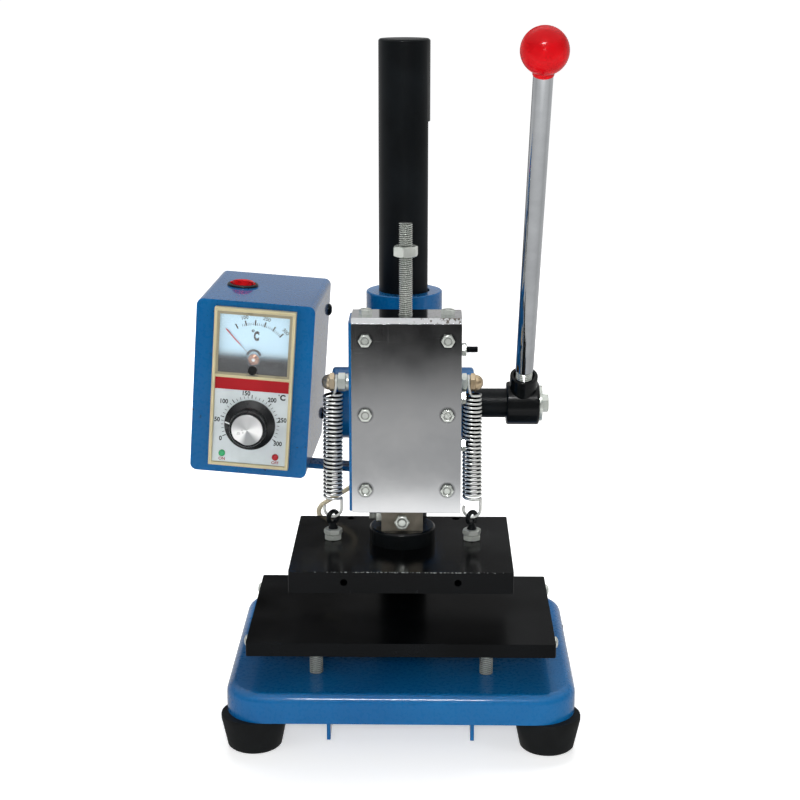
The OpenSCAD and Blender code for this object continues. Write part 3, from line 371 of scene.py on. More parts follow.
shine = ground.node("ShaderNodeEmission", {}, {"Color": graded})
both = ground.node("ShaderNodeMixShader", {}, {0: mirrored, 1: plain, 2: shine})
ground.node("ShaderNodeOutputMaterial", {}, {"Surface": both})
floor.data.materials.append(floor_look)
print("floor ready")

# %% [markdown]
# ### Lamps and surroundings
# A large soft lamp above, one on each side, one by the camera and a low card in front light the
# object at a plain level. Mirror rays don't meet those lamps. They see surroundings that are darker
# than the floor, with a pale sheet low behind the machine and a bright ceiling. They also see one
# small lamp high in front, which sets a point of light on the ball and a line on rounded edges.

# %% Lamps
LIT_POINT = Vector((0, 0, 0.2))


def lamp(name, place, wide, high, watts):
    data = bpy.data.lights.new(name, "AREA")
    data.shape = "RECTANGLE"
    data.size = wide
    data.size_y = high
    data.energy = watts
    obj = add(name, data)
    obj.location = place
    aim = LIT_POINT - Vector(place)
    obj.rotation_euler = aim.to_track_quat("-Z", "Y").to_euler()
    obj.visible_camera = False
    return obj


for name, place, wide, high, watts in (
        ("light_left", (-1.1, -1.0, 0.55), 0.8, 0.8, 4.5),
        ("light_right", (1.25, -0.7, 0.45), 0.5, 0.8, 3.5),
        ("light_top", (0, 0.75, 1.35), 1.2, 0.8, 21),
        ("light_card", (0, -0.95, 0.13), 1.8, 0.24, 1.6),
        ("light_camera", (-0.03, -1.15, 0.55), 0.3, 0.15, 5.2)):
    lamp(name, place, wide, high, watts).visible_glossy = False
lamp("light_glint", (-0.03, -0.75, 0.88), 0.24, 0.1, 4.2).visible_diffuse = False
print("lamps", len(bpy.data.lights))

# %% Surroundings
SHEET_LEVEL = 0.5
FRONT_LEVEL = 0.18
CEILING_LEVEL = 0.95
studio = bpy.data.worlds.new("studio")
scene.world = studio
studio.use_nodes = True
sky = Net(studio.node_tree)
sky.tree.nodes.clear()
look = sky.where("Generated")
across, depth, height = (sky.part(look, axis) for axis in "XYZ")
sheet = sky.span(height, 0.2, 0.3, 1, 0)
behind = sky.span(depth, -0.1, 0.35)
sides = sky.span(across, -0.08, 0.2, 0.01, 0.3) + sky.span(across, -0.25, -0.55, 0, 0.3)
wall = sheet * SHEET_LEVEL + (1 - sheet) * sides
ceiling = sky.span(height, 0.38, 0.75)
room = wall * behind + (1 - behind) * FRONT_LEVEL
level = room * (1 - ceiling) + ceiling * CEILING_LEVEL
mirrored = sky.node("ShaderNodeLightPath", {}, {}, "Is Glossy Ray")
seen = sky.node("ShaderNodeLightPath", {}, {}, "Is Camera Ray")
shown = sky.mix((0.22, 0.225, 0.23, 1), level, mirrored)
shown = sky.mix(shown, (1, 1, 1, 1), seen)
backdrop = sky.node("ShaderNodeBackground", {}, {"Color": shown})
sky.node("ShaderNodeOutputWorld", {}, {"Surface": backdrop})
print("surroundings ready")

# %% [markdown]
# ## Blue enamel
# The castings and the box wear a glossy blue enamel. Its colour drifts a little over a hand's
# breadth and a very shallow orange-peel bump breaks the reflections up. The sheet-metal box has a few
# chipped specks, and its bracket is more chipped and takes a darker copy of the blue that is painted
# shade, so one builder mixes all three.

# %% Blue enamel
def enamel(name, dark, light, chip_from, gloss):
    made = Finish(name, rough=0.28, coat_weight=gloss, coat_roughness=0.05, coat_ior=1.4,
                  specular_ior_level=0.1)
    drift = made.noise(14, 3)
    peel = made.noise(420, 2)
    flecks = made.span(made.noise(430, 1), chip_from, chip_from + 0.02)
    chips = flecks * made.span(made.noise(40, 2), 0.5, 0.62)
    paint = made.mix(tone(dark), tone(light), made.span(drift, 0.35, 0.65))
    made.feed("Base Color", made.mix(paint, tone("10202c"), chips))
    made.feed("Roughness", made.span(peel, 0.3, 0.7, 0.26, 0.3) + chips * 0.3)
    made.bump(peel, 0.0016, 0.0003)


enamel("blue_paint", "0a5993", "0c649e", 0.95, 0.8)
enamel("box_paint", "0a5289", "0b5c94", 0.7, 0.8)
# the bracket's darker blue is painted shade; its chips are real
enamel("bracket_paint_shaded", "0a3a66", "0c4c7d", 0.62, 0.1)
print("blue enamel")

# %% [markdown]
# ## Black finishes
# The column and shaft are blacked steel with faint lengthwise scratches; hub and flange are the same
# but polished; the plates are satin black with an even grain, a few paler scuffs and a front edge
# that has worn bright, brightest in the middle, partly wear and partly a painted highlight; rubber is
# matt and a bit dusty. All of them are nearly black, so their shape is told by what they reflect.

# %% Blacked steel
def blacked(name, dark, light, low, high, gloss):
    made = Finish(name, rough=low, specular_ior_level=gloss)
    scratch = made.noise(900, 3, (1, 1, 0.03))
    patch = made.noise(30, 3)
    made.feed("Base Color", made.mix(tone(dark), tone(light), made.span(patch, 0.4, 0.75)))
    made.feed("Roughness", made.span(scratch, 0.3, 0.7, low, high))
    made.bump(scratch, 0.03)


blacked("black_oxide", "0b0e10", "13171a", 0.28, 0.42, 0.14)
blacked("black_polish", "090b0c", "101315", 0.16, 0.28, 0.22)
print("blacked steel")

# %% Satin black plates and rubber
plate = Finish("black_plate", rough=0.2, specular_ior_level=0.13)
grain = plate.noise(1500, 2)
cloud = plate.noise(25, 4)
scuff = plate.span(plate.noise(260, 3, (1, 0.12, 1)), 0.7, 0.78)
satin = plate.mix(tone("050607"), tone("0a0c0e"), plate.span(cloud, 0.35, 0.7))
satin = plate.mix(satin, tone("33363a"), scuff * 0.3)
HEATED_FRONT = (0, -0.0573, 0)
HEATED_TOP = (0, 0, 0.1059)
by_front = plate.span(plate.along(HEATED_FRONT, (0, -1, 0)), 0, 0.0004)
arris = by_front * plate.span(plate.along(HEATED_TOP, (0, 0, 1)), 0, 0.0003)
middle = plate.span(plate.along((0.005, 0, 0), (1, 0, 0)).sum("ABSOLUTE", 0), 0.06, 0.02, 0, 0.14)
# the bright front edge, strongest in the middle: partly wear, partly a painted highlight
wear_and_highlight = arris * plate.span(plate.noise(900, 3) + middle, 0.62, 0.72)
plate.feed("Base Color", plate.mix(satin, tone("8f9391"), wear_and_highlight))
plate.feed("Roughness", plate.span(cloud, 0.3, 0.7, 0.14, 0.22) + wear_and_highlight * 0.2)
plate.bump(grain, 0.02)

rubber = Finish("rubber", rough=0.75, specular_ior_level=0.2)
dust = rubber.noise(60, 4)
rubber.feed("Base Color", rubber.mix(tone("0c0e0f"), tone("1b1d1e"), rubber.span(dust, 0.45, 0.8)))
rubber.feed("Roughness", rubber.span(dust, 0.3, 0.7, 0.55, 0.8))
rubber.bump(rubber.noise(1200, 2), 0.15, 0.0003)
print("black finishes")

# %% [markdown]
# ## Bare and plated metal
# One builder makes the plain metals: a colour, a roughness and grain stretched along the direction
# the tool went. Zinc is cool and bright, and the roots of its threads and a ring in the dish of a bolt
# head are darkened as painted shade, which a `groove` value on the mesh marks. The cap nuts have
# a pale yellow chromate, and the ram is bare mild steel.

# %% Metals
def metal(name, dark, light, rough, stretch=(1, 1, 1), fine=300, grain=0.02, shine=1.0):
    made = Finish(name, metal=shine, rough=rough)
    lines = made.noise(fine, 3, stretch)
    broad = made.noise(60, 2)
    made.colour = made.mix(tone(dark), tone(light), made.span(broad * 0.7 + lines * 0.3, 0.35, 0.65))
    made.feed("Base Color", made.colour)
    made.feed("Roughness", made.span(lines, 0.3, 0.7, rough * 0.8, rough * 1.25))
    made.bump(lines, grain)
    return made


zinc = metal("zinc", "cdd3cc", "e6eae3", 0.16, grain=0.008, shine=0.6)
# thread roots and the ring in a bolt head's dish are darkened here: painted shade
groove = zinc.node("ShaderNodeAttribute", {"attribute_name": "groove"}, {}, "Fac")
zinc.feed("Base Color", zinc.mix(zinc.colour, tone("2e2e2b"), groove * 0.85))
metal("yellow_zinc", "c4ad8b", "e6d7bb", 0.12, grain=0.006, shine=0.7)
metal("ram_steel", "6f6a60", "a39c8e", 0.4, (1, 1, 0.3), 260, 0.08, 0.8)
metal("gear_steel", "9a9c9e", "b9bbbd", 0.35)
metal("chrome", "c4c7ca", "d2d5d8", 0.08, (1, 1, 1), 200, 0.004)
metal("bronze", "8c6a3a", "b08a50", 0.35)
metal("copper", "a0684a", "d6a184", 0.28, shine=0.7)
print("metals")

# %% [markdown]
# ### Spring wire
# A wound spring is bright outside, and its inner side is painted dark, a painted shade that makes the
# gaps between the turns look shadowed. How far a point is from the winding's axis tells the two apart,
# and both springs share it because X is taken without sign.

# %% Spring wire
ANCHOR_Y = -0.4
SPRING_TOP = (41.7, ANCHOR_Y, 199.0)
SPRING_LOW = (42.5, 1.6, 132.9)
lean_x = (SPRING_LOW[0] - SPRING_TOP[0]) * MM
lean_y = (SPRING_LOW[1] - SPRING_TOP[1]) * MM
coil = metal("spring_wire", "e2e4df", "f4f5f1", 0.22, grain=0.008, shine=0.5)
at_x, at_y, at_z = (coil.part(coil.where(), axis) for axis in "XYZ")
down = coil.span(at_z, SPRING_TOP[2] * MM, SPRING_LOW[2] * MM)
out_x = at_x.sum("ABSOLUTE", 0) - (down * lean_x + SPRING_TOP[0] * MM)
out_y = at_y - (down * lean_y + SPRING_TOP[1] * MM)
from_axis = (out_x * out_x + out_y * out_y).sum("POWER", 0.5)
in_coil = coil.span(at_z, 0.1315, 0.133) * coil.span(at_z, 0.201, 0.2)
# the coil's inner side is painted dark: painted shade between the turns
inner_shade = coil.span(from_axis, 0.00555, 0.00585, 1, 0) * in_coil
coil.feed("Base Color", coil.mix(coil.colour, tone("14130f"), inner_shade))
print("spring wire")

# %% [markdown]
# ### Ground cover plates
# The two cover plates are ground bright. They carry soft clouds from wiping, fine crossing
# scratches, a dark ring round each bolt that is painted shadow and reflection with a little grime, and
# a little rust on the top plate. The top plate's front edge is sawn and not ground, so it is paler and
# catches light from all sides.

# %% Cover plates
COVER_BOLT_X = (-21.8, 27.0)
COVER_BOLT_Z = (143.4, 189.9, 235.0)
cover = Finish("cover_steel", metal=1.0, rough=0.1)
wipe = cover.noise(26, 4)
fine_up = cover.noise(1300, 2, (1, 1, 0.03))
fine_over = cover.noise(900, 2, (0.05, 1, 1))
scratch = cover.span(fine_up, 0.64, 0.76) + cover.span(fine_over, 0.68, 0.8)
side, front, high = (cover.part(cover.where(), axis) for axis in "XYZ")
sawn_edge = cover.span(high, 0.2448, 0.2452) * cover.span(front, -0.0155, -0.016)
speck = cover.span(cover.noise(520, 3) + cover.span(side, 0.0, 0.035, 0.0, 0.08), 0.58, 0.66)
rust = speck * cover.span(high, 0.244, 0.246) * cover.span(side, -0.005, 0.02)
rust = rust * (sawn_edge * 0.85 + 0.15)
middle_x = (COVER_BOLT_X[1] + COVER_BOLT_X[0]) / 2 * MM
apart_x = (COVER_BOLT_X[1] - COVER_BOLT_X[0]) / 2 * MM
# a dark ring round each bolt: painted shadow and reflection, with a little grime
bolt_shade_ring = 0.0
for z in COVER_BOLT_Z:
    off_x = (side - middle_x).sum("ABSOLUTE", 0) - apart_x
    off_z = high - z * MM
    from_bolt = (off_x * off_x + off_z * off_z).sum("POWER", 0.5)
    bolt_shade_ring = cover.span(from_bolt, 0.0038, 0.0054, 1, 0) + bolt_shade_ring
bright = cover.mix(tone("d2d4d6"), tone("e4e5e6"), cover.span(wipe, 0.35, 0.65))
bright = cover.mix(bright, tone("55585a"), bolt_shade_ring * 0.75)
cover.feed("Base Color", cover.mix(bright, tone("4f4132"), rust * 0.9))
cover.feed("Metallic", 1 - sawn_edge * 0.6)
polish = cover.span(wipe, 0.3, 0.7, 0.07, 0.13)
cover.feed("Roughness", polish + scratch * 0.05 + rust * 0.3 + sawn_edge * 0.25)
cover.bump(fine_up, 0.01)
print("cover plates")

# %% [markdown]
# ## Plastics, glass and print
# Moulded parts get a light texture. The meter's window is a clear sheet that is mostly see-through
# and keeps a sharp reflection.

# %% Plastics
DRIFT = 0.08


def plastic(name, code, rough, fine=900, grain=0.03, coat=0.0, ior=1.5):
    made = Finish(name, rough=rough, coat_weight=coat, coat_roughness=0.05, ior=ior)
    haze = made.noise(70, 3)
    dark, light = tone(code, 1 - DRIFT), tone(code, 1 + DRIFT)
    made.feed("Base Color", made.mix(dark, light, made.span(haze, 0.35, 0.65)))
    made.feed("Roughness", made.span(haze, 0.3, 0.7, rough * 0.85, rough * 1.15))
    made.bump(made.noise(fine, 2), grain)
    return made


plastic("black_plastic", "141618", 0.26)
plastic("red_plastic", "cc0c15", 0.2, 60, 0.01, 0.14, ior=1.2)
plastic("cream_plastic", "bfb48f", 0.34)
# a darker copy of the cream plastic for the window's lip: painted shade
plastic("cream_painted_shade", "928a72", 0.3)
plastic("panel_grey", "c2cacc", 0.42, 2200, 0.05)
plastic("band_red", "a0141d", 0.4, ior=1.3)
plastic("sleeve", "d8ccae", 0.8, 1600, 0.4)
needle_paint = plastic("needle_red", "c8202a", 0.45)
plastic("lamp_green", "2aa263", 0.12, 200, 0.02, 0.6)
plastic("lamp_red", "b01722", 0.12, 200, 0.02, 0.6)
plastic("print_black", "121416", 0.5)
plastic("print_grey", "3d4448", 0.5)
plastic("print_red", "8e1420", 0.5)
plastic("print_white", "eceff0", 0.45)

clear = Finish("clear", rough=0.04, alpha=0.08)
clear.feed("Base Color", (0.95, 0.97, 1.0, 1.0))
clear.feed("Roughness", clear.span(clear.noise(90, 3), 0.3, 0.7, 0.03, 0.07))
print("plastics", len(FINISHES))

# %% [markdown]
# ## The panel's own finishes
# Three finishes follow the control panel, which leans with its box, so they measure along the
# panel's own directions. The meter's scale darkens downwards through a screen of crossing lines, a
# smoky mask in front of it does the same, and the knob's spun cap has bright and grey wedges painted
# into its colour, a painted highlight for the sheen of spun metal.

# %% Scale, mask and spun cap
PANEL = BOX @ spot(0.4, 0, 1.0)
PIVOT = (0, 17.6)
DIAL_CENTRE = (0, -21.7)
ACROSS = PANEL.to_3x3() @ Vector((1, 0, 0))
UP = PANEL.to_3x3() @ Vector((0, 0, 1))


def panel_point(u, v, y):
    return PANEL @ Vector((u * MM, y * MM, v * MM))


LINES_PER_METRE = 900


def screen(made, low, high):
    up = made.along(panel_point(0, 0, 0), UP)
    over = made.along(panel_point(0, 0, 0), ACROSS)
    rising = ((up + over) * LINES_PER_METRE).sum("PINGPONG", 0.5)
    falling = ((up - over) * LINES_PER_METRE).sum("PINGPONG", 0.5)
    lines = (rising.sum("MAXIMUM", falling) * 2.0).sum("POWER", 3)
    fade = made.span(up, high * MM, low * MM)
    return made.span(fade * 1.7 - lines * 0.7, 0.0, 1.0)


scale_face = Finish("scale_blue", rough=0.5)
screened = scale_face.mix(tone("c3e6f8"), tone("22292e"), screen(scale_face, 14, 24))
scale_face.feed("Base Color", screened)
smoke = Finish("smoke", rough=0.35)
smoke.feed("Base Color", smoke.mix(tone("0c0e10"), tone("1c2023"), smoke.noise(300, 2)))
smoke.feed("Alpha", screen(smoke, 11, 21))

pivot_point = panel_point(*PIVOT, 0)
from_pivot = needle_paint.vector("DISTANCE", needle_paint.where(), pivot_point, "Value")
red_tip = needle_paint.span(from_pivot, 0.0105, 0.013)
needle_paint.feed("Base Color", needle_paint.mix(tone("a9bcc6"), tone("c8202a"), red_tip))

spun = Finish("spun_aluminium", metal=0.3, rough=0.3)
hub_point = panel_point(*DIAL_CENTRE, 0)
around = spun.along(hub_point, UP).sum("ARCTAN2", spun.along(hub_point, ACROSS))
# bright and grey wedges in the cap's colour: a painted highlight
painted_wedges = (around * 2 + 0.9).sum("SINE", 0) * 0.6 + (around * 3 + 2.4).sum("SINE", 0) * 0.4
spun.feed("Base Color", spun.mix(tone("9fa1a2"), tone("fbfbfa"), spun.span(painted_wedges, -0.6, 0.6)))
spun.feed("Roughness", spun.span(spun.noise(200, 2), 0.3, 0.7, 0.26, 0.36))
print("panel finishes", len(FINISHES))

# %% [markdown]
# ## Turning a CAD piece into a finished one
# A CAD solid has knife edges, and no real part has. `from_cad` copies a piece and melts its
# triangles back into whole faces; `round_edges` bevels every sharp edge by a small width and weights
# the normals, so flat faces stay flat and the edge catches a line of light. `dress` gives the finish,
# `settle` hands the piece to its body, and `refine` does all of it for a piece that keeps its outline.

# %% From CAD to a finished piece
def from_cad(node):
    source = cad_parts[node]
    obj = source.copy()
    obj.data = source.data.copy()
    obj.name = node + "_fine"
    obj.parent = None
    obj.matrix_world = source.matrix_world.copy()
    scene.collection.objects.link(obj)
    take(obj)
    bpy.ops.mesh.customdata_custom_splitnormals_clear()
    open_mesh(obj)
    bpy.ops.mesh.remove_doubles(threshold=2e-6)
    bpy.ops.mesh.dissolve_limited(angle_limit=math.radians(0.3))
    close_mesh()
    return obj


def round_edges(obj, width):
    modify(obj, "BEVEL", width=width * MM, segments=2, limit_method="ANGLE",
           angle_limit=math.radians(34))
    smooth(obj, 40)
    modify(obj, "WEIGHTED_NORMAL", keep_sharp=True)
    return obj


def dress(obj, slot, finish=None):
    obj.data.materials.clear()
    obj.data.materials.append(FINISHES[finish or slot])


def settle(obj, body, slot, *nodes, finish=None):
    dress(obj, slot, finish)
    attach(obj, body)
    if nodes:
        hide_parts(*nodes)
    print(obj.name, "on", body, len(obj.data.polygons), "faces")


def refine(node, width, body, slot, finish=None):
    settle(round_edges(from_cad(node), width), body, slot, node, finish=finish)


dress(lead, "sleeve")

# %% [markdown]
# ## Castings, plates and sheet metal
# These keep the CAD outline and only gain an edge. A casting takes a broad soft edge, machined
# plates a narrow one, and sheet metal hardly any.

# %% Painted pieces
refine("base_pan", 0.6, "frame", "blue_paint")
refine("base_tabs", 0.3, "frame", "blue_paint")
refine("head_casting", 0.5, "head", "blue_paint")
refine("box_shell", 0.35, "head", "blue_paint", "box_paint")
refine("box_back_cover", 0.25, "head", "blue_paint", "box_paint")
refine("box_bracket", 0.4, "head", "blue_paint", "bracket_paint_shaded")

# %% Plates, column and covers
refine("rubber_feet", 0.7, "frame", "rubber")
refine("column", 0.3, "frame", "black_oxide")
refine("platen", 0.45, "frame", "black_plate")
refine("heated_plate", 0.45, "ram", "black_plate")
refine("ram_flange", 0.3, "ram", "black_oxide", "black_polish")
refine("ram_bar", 0.3, "ram", "ram_steel")
refine("front_cover", 0.3, "head", "cover_steel")
refine("top_cover", 0.3, "head", "cover_steel")
refine("lever_shaft", 0.4, "lever", "black_oxide")
refine("lever_hub", 0.3, "lever", "black_oxide", "black_polish")
refine("lead_grommet", 0.4, "head", "rubber")

# %% [markdown]
# ## Turned shapes
# `lathe` works as a lathe does: it starts from a disc and makes one extrude and one resize for each
# step of the outline. Nuts and bolt heads are six-sided bars cut by a turned cone, which gives the
# curved chamfer that every real nut has.

# %% Lathe, cutting and bars
def lathe(name, steps, sides=48):
    rest()
    bpy.ops.mesh.primitive_circle_add(vertices=sides, radius=steps[0][0] * MM, fill_type="NGON")
    obj = put(bpy.context.object, spot(0, 0, steps[0][1]))
    obj.name = name
    open_mesh(obj)
    for (r_was, z_was), (r, z) in zip(steps, steps[1:]):
        bpy.ops.mesh.extrude_region_move(TRANSFORM_OT_translate={"value": (0, 0, (z - z_was) * MM)})
        k = r / r_was
        bpy.ops.transform.resize(value=(k, k, 1), center_override=(0, 0, z * MM))
    close_mesh()
    return obj


def combine(obj, tool, kind):
    modify(obj, "BOOLEAN", operation=kind, object=tool, solver="EXACT")
    bpy.data.objects.remove(tool)
    return obj


def bar(name, low, high):
    rest()
    middle = [(a + b) / 2 * MM for a, b in zip(low, high)]
    bpy.ops.mesh.primitive_cube_add(size=1, location=middle)
    obj = bpy.context.object
    obj.name = name
    obj.scale = [(b - a) * MM for a, b in zip(low, high)]
    bpy.ops.object.transform_apply(location=True, rotation=True, scale=True)
    return obj


# %% Hexagons, repeats and joins
# width across flats of a metric nut or bolt head, by thread size
FLATS = {4: 7, 5: 8, 6: 10, 8: 13}


def hexagon(name, flats, height, bore=0.0, both=False, dish=0.0):
    corner = flats / 2 / math.cos(math.radians(30))
    obj = put(lathe(name, [(corner, 0), (corner, height)], 6), turn(30, "Z"))
    wide, top = flats * 0.64, flats * 0.47
    drop = (wide - top) * math.tan(math.radians(30))
    steps = [(top, 0), (wide, drop)] if both else [(wide, 0)]
    steps += [(wide, height - drop), (top, height)]
    if dish:
        steps += [(top * 0.82, height), (top * 0.68, height - dish), (top * 0.45, height - dish)]
    combine(obj, lathe(name + "_cone", steps, 60), "INTERSECT")
    if bore:
        drill = lathe(name + "_bore", [(bore / 2, -1), (bore / 2, height + 1)], 32)
        combine(obj, drill, "DIFFERENCE")
    round_edges(obj, 0.08)
    groove = obj.data.attributes.new("groove", "FLOAT", "POINT")
    for vertex in obj.data.vertices:
        from_axis = vertex.co.xy.length / MM
        # the ring at the dish's edge is marked for painted shade
        sunk = dish and vertex.co.z > height * 0.5 * MM and top * 0.55 < from_axis < top * 0.75
        groove.data[vertex.index].value = 0.85 if sunk else 0.0
    return obj


def plain_nut(name, size, height):
    return hexagon(name, FLATS[size], height, bore=size - 0.1, both=True)


def gather(name, parts):
    rest()
    for part in parts:
        part.select_set(True)
    bpy.context.view_layer.objects.active = parts[0]
    bpy.ops.object.join()
    parts[0].name = name
    return parts[0]


def repeat(name, model, places):
    made = []
    for place in places:
        part = model.copy()
        part.data = model.data.copy()
        part.data.transform(place)
        scene.collection.objects.link(part)
        made.append(part)
    bpy.data.objects.remove(model)
    return gather(name, made)


print("lathe ready")

# %% [markdown]
# ## Threads
# A thread is a small zigzag outline turned up a screw: each turn climbs one pitch and meets the
# next. The raw screw is longer than needed, so both ends are cut flat and closed. A `groove` value
# is left on the mesh, 1 at the root and 0 at the crest, for the finish to darken as painted shade.

# %% Threaded rod
# coarse metric pitch by thread size
PITCH = {4: 0.7, 5: 0.8, 6: 1.0, 8: 1.25, 10: 1.5}
SCREW_SIDES = 28


def thread(name, diameter, low, high):
    pitch = PITCH[diameter]
    r = diameter / 2 * MM
    root = r - 0.6 * pitch * MM
    start = (low - 1.6 * pitch) * MM
    p = pitch * MM
    outline = [(root, 0, start), (r, 0, start + 0.44 * p), (r, 0, start + 0.56 * p),
               (root, 0, start + p)]
    mesh = bpy.data.meshes.new(name)
    mesh.from_pydata(outline, [(0, 1), (1, 2), (2, 3)], [])
    obj = add(name, mesh)
    turns = int((high - low) / pitch) + 4
    modify(obj, "SCREW", axis="Z", angle=2 * math.pi, screw_offset=p, iterations=turns,
           steps=SCREW_SIDES, render_steps=SCREW_SIDES, use_merge_vertices=True, merge_threshold=1e-6)
    open_mesh(obj)
    bpy.ops.mesh.remove_doubles(threshold=1e-6)
    for z, below in ((low, True), (high, False)):
        bpy.ops.mesh.select_all(action="SELECT")
        bpy.ops.mesh.bisect(plane_co=(0, 0, z * MM), plane_no=(0, 0, 1), use_fill=True,
                            clear_inner=below, clear_outer=not below)
    close_mesh()
    smooth(obj, 35)
    # the thread's roots are marked for painted shade
    groove = obj.data.attributes.new("groove", "FLOAT", "POINT")
    for vertex in obj.data.vertices:
        groove.data[vertex.index].value = 1.0 if vertex.co.xy.length < (r + root) / 2 else 0.0
    return obj


print("thread tool ready")

# %% [markdown]
# ## Bolts on the covers
# Eight M4 hex bolts hold the front and top covers. The heads are forged, with a shallow dish in the
# middle, and painted shade in the dish draws a dark line inside the bright rim.

# %% Cover bolts
COVER_FACE = -16.15
COVER_TOP = 248.5
bolt = hexagon("cover_bolt", FLATS[4], 2.8, dish=0.35)
places = [spot(x, COVER_FACE, z) @ TO_FRONT for x in COVER_BOLT_X for z in COVER_BOLT_Z]
places += [spot(x, -3, COVER_TOP) for x in COVER_BOLT_X]
settle(repeat("cover_bolt_heads", bolt, places), "head", "zinc", "cover_bolts")

# %% [markdown]
# ## Gib screws
# Three set screws in the head's right side push the gib against the ram, each with a lock nut. Only
# the top one stands far out.

# %% Gib screws and their lock nuts
GIB_Y = -10
GIB_Z = (228.5, 199.3, 170.0)
nut = hexagon("gib_nut", FLATS[4], 2.8, bore=4.1, both=True)
places = [spot(35.2, GIB_Y, z) @ TO_RIGHT @ turn(30, "Z") for z in GIB_Z]
settle(repeat("gib_nuts", nut, places), "head", "zinc", "gib_lock_nuts")
screws = []
for z, end in zip(GIB_Z, (44.6, 39.5, 39.5)):
    screws.append(put(thread("gib_screw", 4, 10, end), spot(0, GIB_Y, z) @ TO_RIGHT))
settle(gather("gib_threads", screws), "head", "black_oxide", "gib_screws")

# %% [markdown]
# ## Depth stop
# A threaded M8 rod stands on the ram and carries the stop nut. The rod rises through the top cover.

# %% Stop rod and nut
STOP_AT = (2, -6)
stop_rod = put(thread("stop_thread", 8, 229.7, 303.0), spot(*STOP_AT, 0))
settle(stop_rod, "ram", "zinc", "stop_rod")
stop = plain_nut("stop_hex", 8, 6.3)
settle(put(stop, spot(*STOP_AT, 283.3) @ turn(20, "Z")), "stop_nut", "zinc", "stop_nut")

# %% [markdown]
# ## Work plate studs and screws
# Four M8 studs hold the fixed plate above the base, each with a nut under the base's skin. Small
# domed screws with a cross slot stand in the plate's sides.

# %% Studs
stud_places = [(x, y) for x in (-50.7, 50.7) for y in (-45, 30)]
stud = thread("stud", 8, 24.5, 61.2)
studs = repeat("stud_threads", stud, [spot(x, y, 0) for x, y in stud_places])
under = plain_nut("stud_nut", 8, 6)
unders = repeat("stud_nuts", under, [spot(x, y, 26.5) for x, y in stud_places])
settle(gather("platen_stud_set", [studs, unders]), "frame", "zinc", "platen_studs")


# %% Domed screws
def dome_head(name, wide, high):
    steps = [(wide / 2, 0)]
    for degrees in (0, 15, 30, 45, 60, 74):
        x, z = wave(degrees)
        steps.append((wide / 2 * x, high * (0.2 + 0.8 * z)))
    obj = lathe(name, steps, 36)
    half = wide * 0.1 / 2
    reach = wide * 0.26
    cross, other = (bar("slot", (-x, -y, high * 0.45), (x, y, high + 1))
                    for x, y in ((reach, half), (half, reach)))
    combine(obj, combine(cross, other, "UNION"), "DIFFERENCE")
    return round_edges(obj, 0.06)


PLATE_SIDE = 90.75
PLATE_MID = 60.55
places = [spot(-PLATE_SIDE, y, PLATE_MID) @ TO_LEFT for y in (-51, 36)]
places += [spot(PLATE_SIDE, y, PLATE_MID) @ TO_RIGHT for y in (-51, 36)]
screw_heads = repeat("platen_screw_heads", dome_head("platen_screw", 7, 2.2), places)
settle(screw_heads, "frame", "zinc", "platen_screws")

# %% [markdown]
# ## Return springs
# Two tension springs lift the ram. The line of each follows the real winding: a hook over the stud
# in the head, 26 turns, and an open hook through the eye on the heated plate.

# %% Springs
WIRE = 1.7
COIL = 5.2
HOOK = 3.95
TURNS = 26.25
ANCHOR_Z = 206


def spring_line(side):
    top = Vector((side * SPRING_TOP[0], SPRING_TOP[1], SPRING_TOP[2]))
    low = Vector((side * SPRING_LOW[0], SPRING_LOW[1], SPRING_LOW[2]))
    over = []
    for degrees in range(-50, 201, 25):
        y, z = wave(degrees)
        over.append(Vector((side * 39.6, ANCHOR_Y + HOOK * y, ANCHOR_Z + HOOK * z)))
    over += [Vector((side * 40.44, ANCHOR_Y - COIL * 0.9, 200.6)), top + Vector((0, -COIL, 0))]
    line = soft_line(over, 3)[:-1]
    steps = int(24 * TURNS)
    for i in range(steps + 1):
        t = i / steps
        x, y = wave(270 + 360 * TURNS * t)
        line.append(top.lerp(low, t) + COIL * Vector((x, y, 0)))
    for i in range(37):
        x, z = wave(202.5 * i / 36)
        line.append(Vector((low.x + COIL * x, low.y, low.z - 7 - COIL * z)))
    return line


for side, name in ((-1, "left"), (1, "right")):
    spring = wire("spring_" + name, spring_line(side), WIRE)
    side * 0.0417
    side * 0.0425
    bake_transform(spring)
    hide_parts("return_spring_" + name)
    dress(spring, "zinc", "spring_wire")
    print(spring.name, len(spring.data.polygons), "faces")

# %% [markdown]
# ## Spring anchors
# Each spring hangs on a stud in the head's cheek, between a lock nut and a cap nut. On the heated
# plate it hooks into an eye bolt that two thin nuts clamp.

# %% Anchors in the head
CAP_R = 4.7


def acorn(name):
    steps = [(CAP_R, 3.4), (CAP_R, 3.5)]
    for degrees in range(12, 84, 12):
        r, z = wave(degrees)
        steps.append((CAP_R * r, 3.5 + 4.5 * z))
    dome = round_edges(lathe(name + "_dome", steps, 40), 0.05)
    return gather(name, [hexagon(name + "_hex", FLATS[6], 3.4, both=True), dome])


def at_anchor(x):
    return spot(x, ANCHOR_Y, ANCHOR_Z)


def spread(name, model, x):
    return repeat(name, model, [at_anchor(x) @ TO_RIGHT, at_anchor(-x) @ TO_LEFT])


right_lock = plain_nut("right_lock", 6, 3.4)
put(right_lock, at_anchor(35.35) @ TO_RIGHT)
left_lock = plain_nut("left_lock", 6, 5.0)
put(left_lock, at_anchor(-33.75) @ TO_LEFT)
shank = spread("anchor_studs", thread("anchor_stud", 6, 25, 46.3), 0)
spacer = round_edges(lathe("anchor_spacer", [(5.2, 0), (5.2, 1.9)], 40), 0.2)
put(spacer, at_anchor(-31.8) @ TO_LEFT)
anchors = gather("anchor_set", [right_lock, left_lock, shank, spacer])
settle(anchors, "head", "zinc", "spring_anchors")
settle(spread("anchor_caps", acorn("cap_nut"), 40.5), "head", "yellow_zinc", "spring_cap_nuts")

